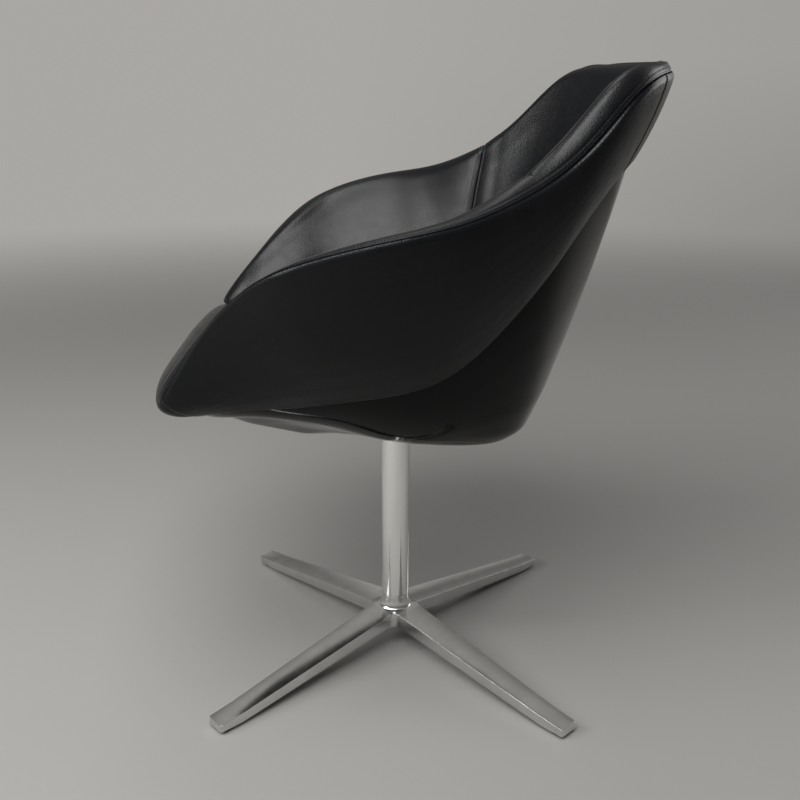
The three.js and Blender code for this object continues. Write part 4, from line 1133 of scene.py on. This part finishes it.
# %% Floor
floor_reach, fade_start, fade_end = 30, 1.4, 4.6
floor_paint = new_material("floor", (0.28, 0.272, 0.259), 0.85)
mottled(floor_paint, 3.0, 0.8, 0.9)
radius = add_node(floor_paint, "ShaderNodeVectorMath", {0: object_places(floor_paint)},
                  operation="LENGTH").outputs["Value"]
plug(floor_paint, "Alpha", ranged(floor_paint, radius, 1.0, 0.0, fade_start, fade_end, "SMOOTHSTEP"))
floor_mesh = bpy.data.meshes.new("floor")
floor_corners = [(x * floor_reach, y * floor_reach, 0) for x, y in ((-1, -1), (1, -1), (1, 1), (-1, 1))]
floor_mesh.from_pydata(floor_corners, [], [(0, 1, 2, 3)])
floor_mesh.materials.append(floor_paint)
in_scene("floor", floor_mesh)
print("floor fades from", fade_start, "to", fade_end, "m")

# %% [markdown]
# ## The studio round it
# Mirror-like pieces see the same pale background as the camera does, while the light that falls on the
# chair from all round is weaker. The background isn't one even tone: it is darker behind the chair's
# back, and again in a belt a little above the horizon, so that metal and gloss show lighter and darker
# stretches as they do in a real room.

# %% World
pale = (0.40, 0.388, 0.37)
world = bpy.data.worlds.new("studio")
bpy.context.scene.world = world
world.use_nodes = True
all_round_light = world.node_tree.nodes["Background"]
all_round_light.inputs["Color"].default_value = (1, 1, 1, 1)
all_round_light.inputs["Strength"].default_value = 0.09
direction = add_node(world, "ShaderNodeTexCoord").outputs["Generated"]
to_rear, upwards = add_node(world, "ShaderNodeSeparateXYZ", {0: direction}).outputs[1:3]
behind = calculate(world, "MULTIPLY", ranged(world, to_rear, 0.0, 0.6, -0.05, 1.0),
                   ranged(world, upwards, 1.4, 0.5, -0.2, 0.02))
belt = calculate(world, "MAXIMUM", ranged(world, upwards, 1.0, 0.35, 0.08, 0.26),
                 ranged(world, upwards, 0.35, 0.9, 0.35, 0.6))
tone = calculate(world, "MULTIPLY", calculate(world, "SUBTRACT", 1.0, behind), belt)
toned = add_node(world, "ShaderNodeVectorMath", {0: pale, "Scale": tone}, operation="SCALE").outputs[0]
shown = add_node(world, "ShaderNodeBackground", {"Color": toned}).outputs[0]
ray = add_node(world, "ShaderNodeLightPath").outputs
seen = calculate(world, "MAXIMUM", ray["Is Camera Ray"], ray["Is Glossy Ray"])
choice = add_node(world, "ShaderNodeMixShader", {0: seen, 1: all_round_light.outputs[0], 2: shown})
world.node_tree.links.new(choice.outputs[0], world.node_tree.nodes["World Output"].inputs["Surface"])
print("world nodes:", len(world.node_tree.nodes))

# %% [markdown]
# ## Lamps
# Black leather is modelled by what it mirrors. A large softbox hangs above the camera's side and a
# smaller one stands in front: their reflections draw the far arm, the back and the near rim, while the
# near side reflects only floor and stays deep black. A weak lamp overhead and one behind keep the
# chair readable from the other sides.


# %% Lamps
def lamp(name, place, aim, size, power):
    data = bpy.data.lights.new(name, "AREA")
    data.shape, data.size, data.size_y, data.energy = "RECTANGLE", *size, power
    light = in_scene(name, data)
    light.location = place
    way = np.array(aim) - np.array(place)
    light.rotation_euler = (math.acos(-way[2] / np.linalg.norm(way)), 0,
                            math.atan2(way[1], way[0]) - math.pi / 2)
    light.visible_camera = False


lamp("softbox", (1.25, -0.65, 2.4), (0, -0.65, 0.4), (2.2, 1.65), 86)
lamp("front softbox", (0.92, -2.4, 1.85), (-0.25, 0.1, 0.6), (1.25, 1.05), 38)
lamp("back light", (-0.9, -0.2, 3.3), (0, 0, 0.2), (1.2, 1.2), 13)
lamp("rear light", (-1.6, 2.5, 1.3), (0, 0, 0.5), (1.4, 1.6), 14)
bpy.context.scene.view_settings.view_transform = "Standard"
print("lamps:", len(bpy.data.lights))
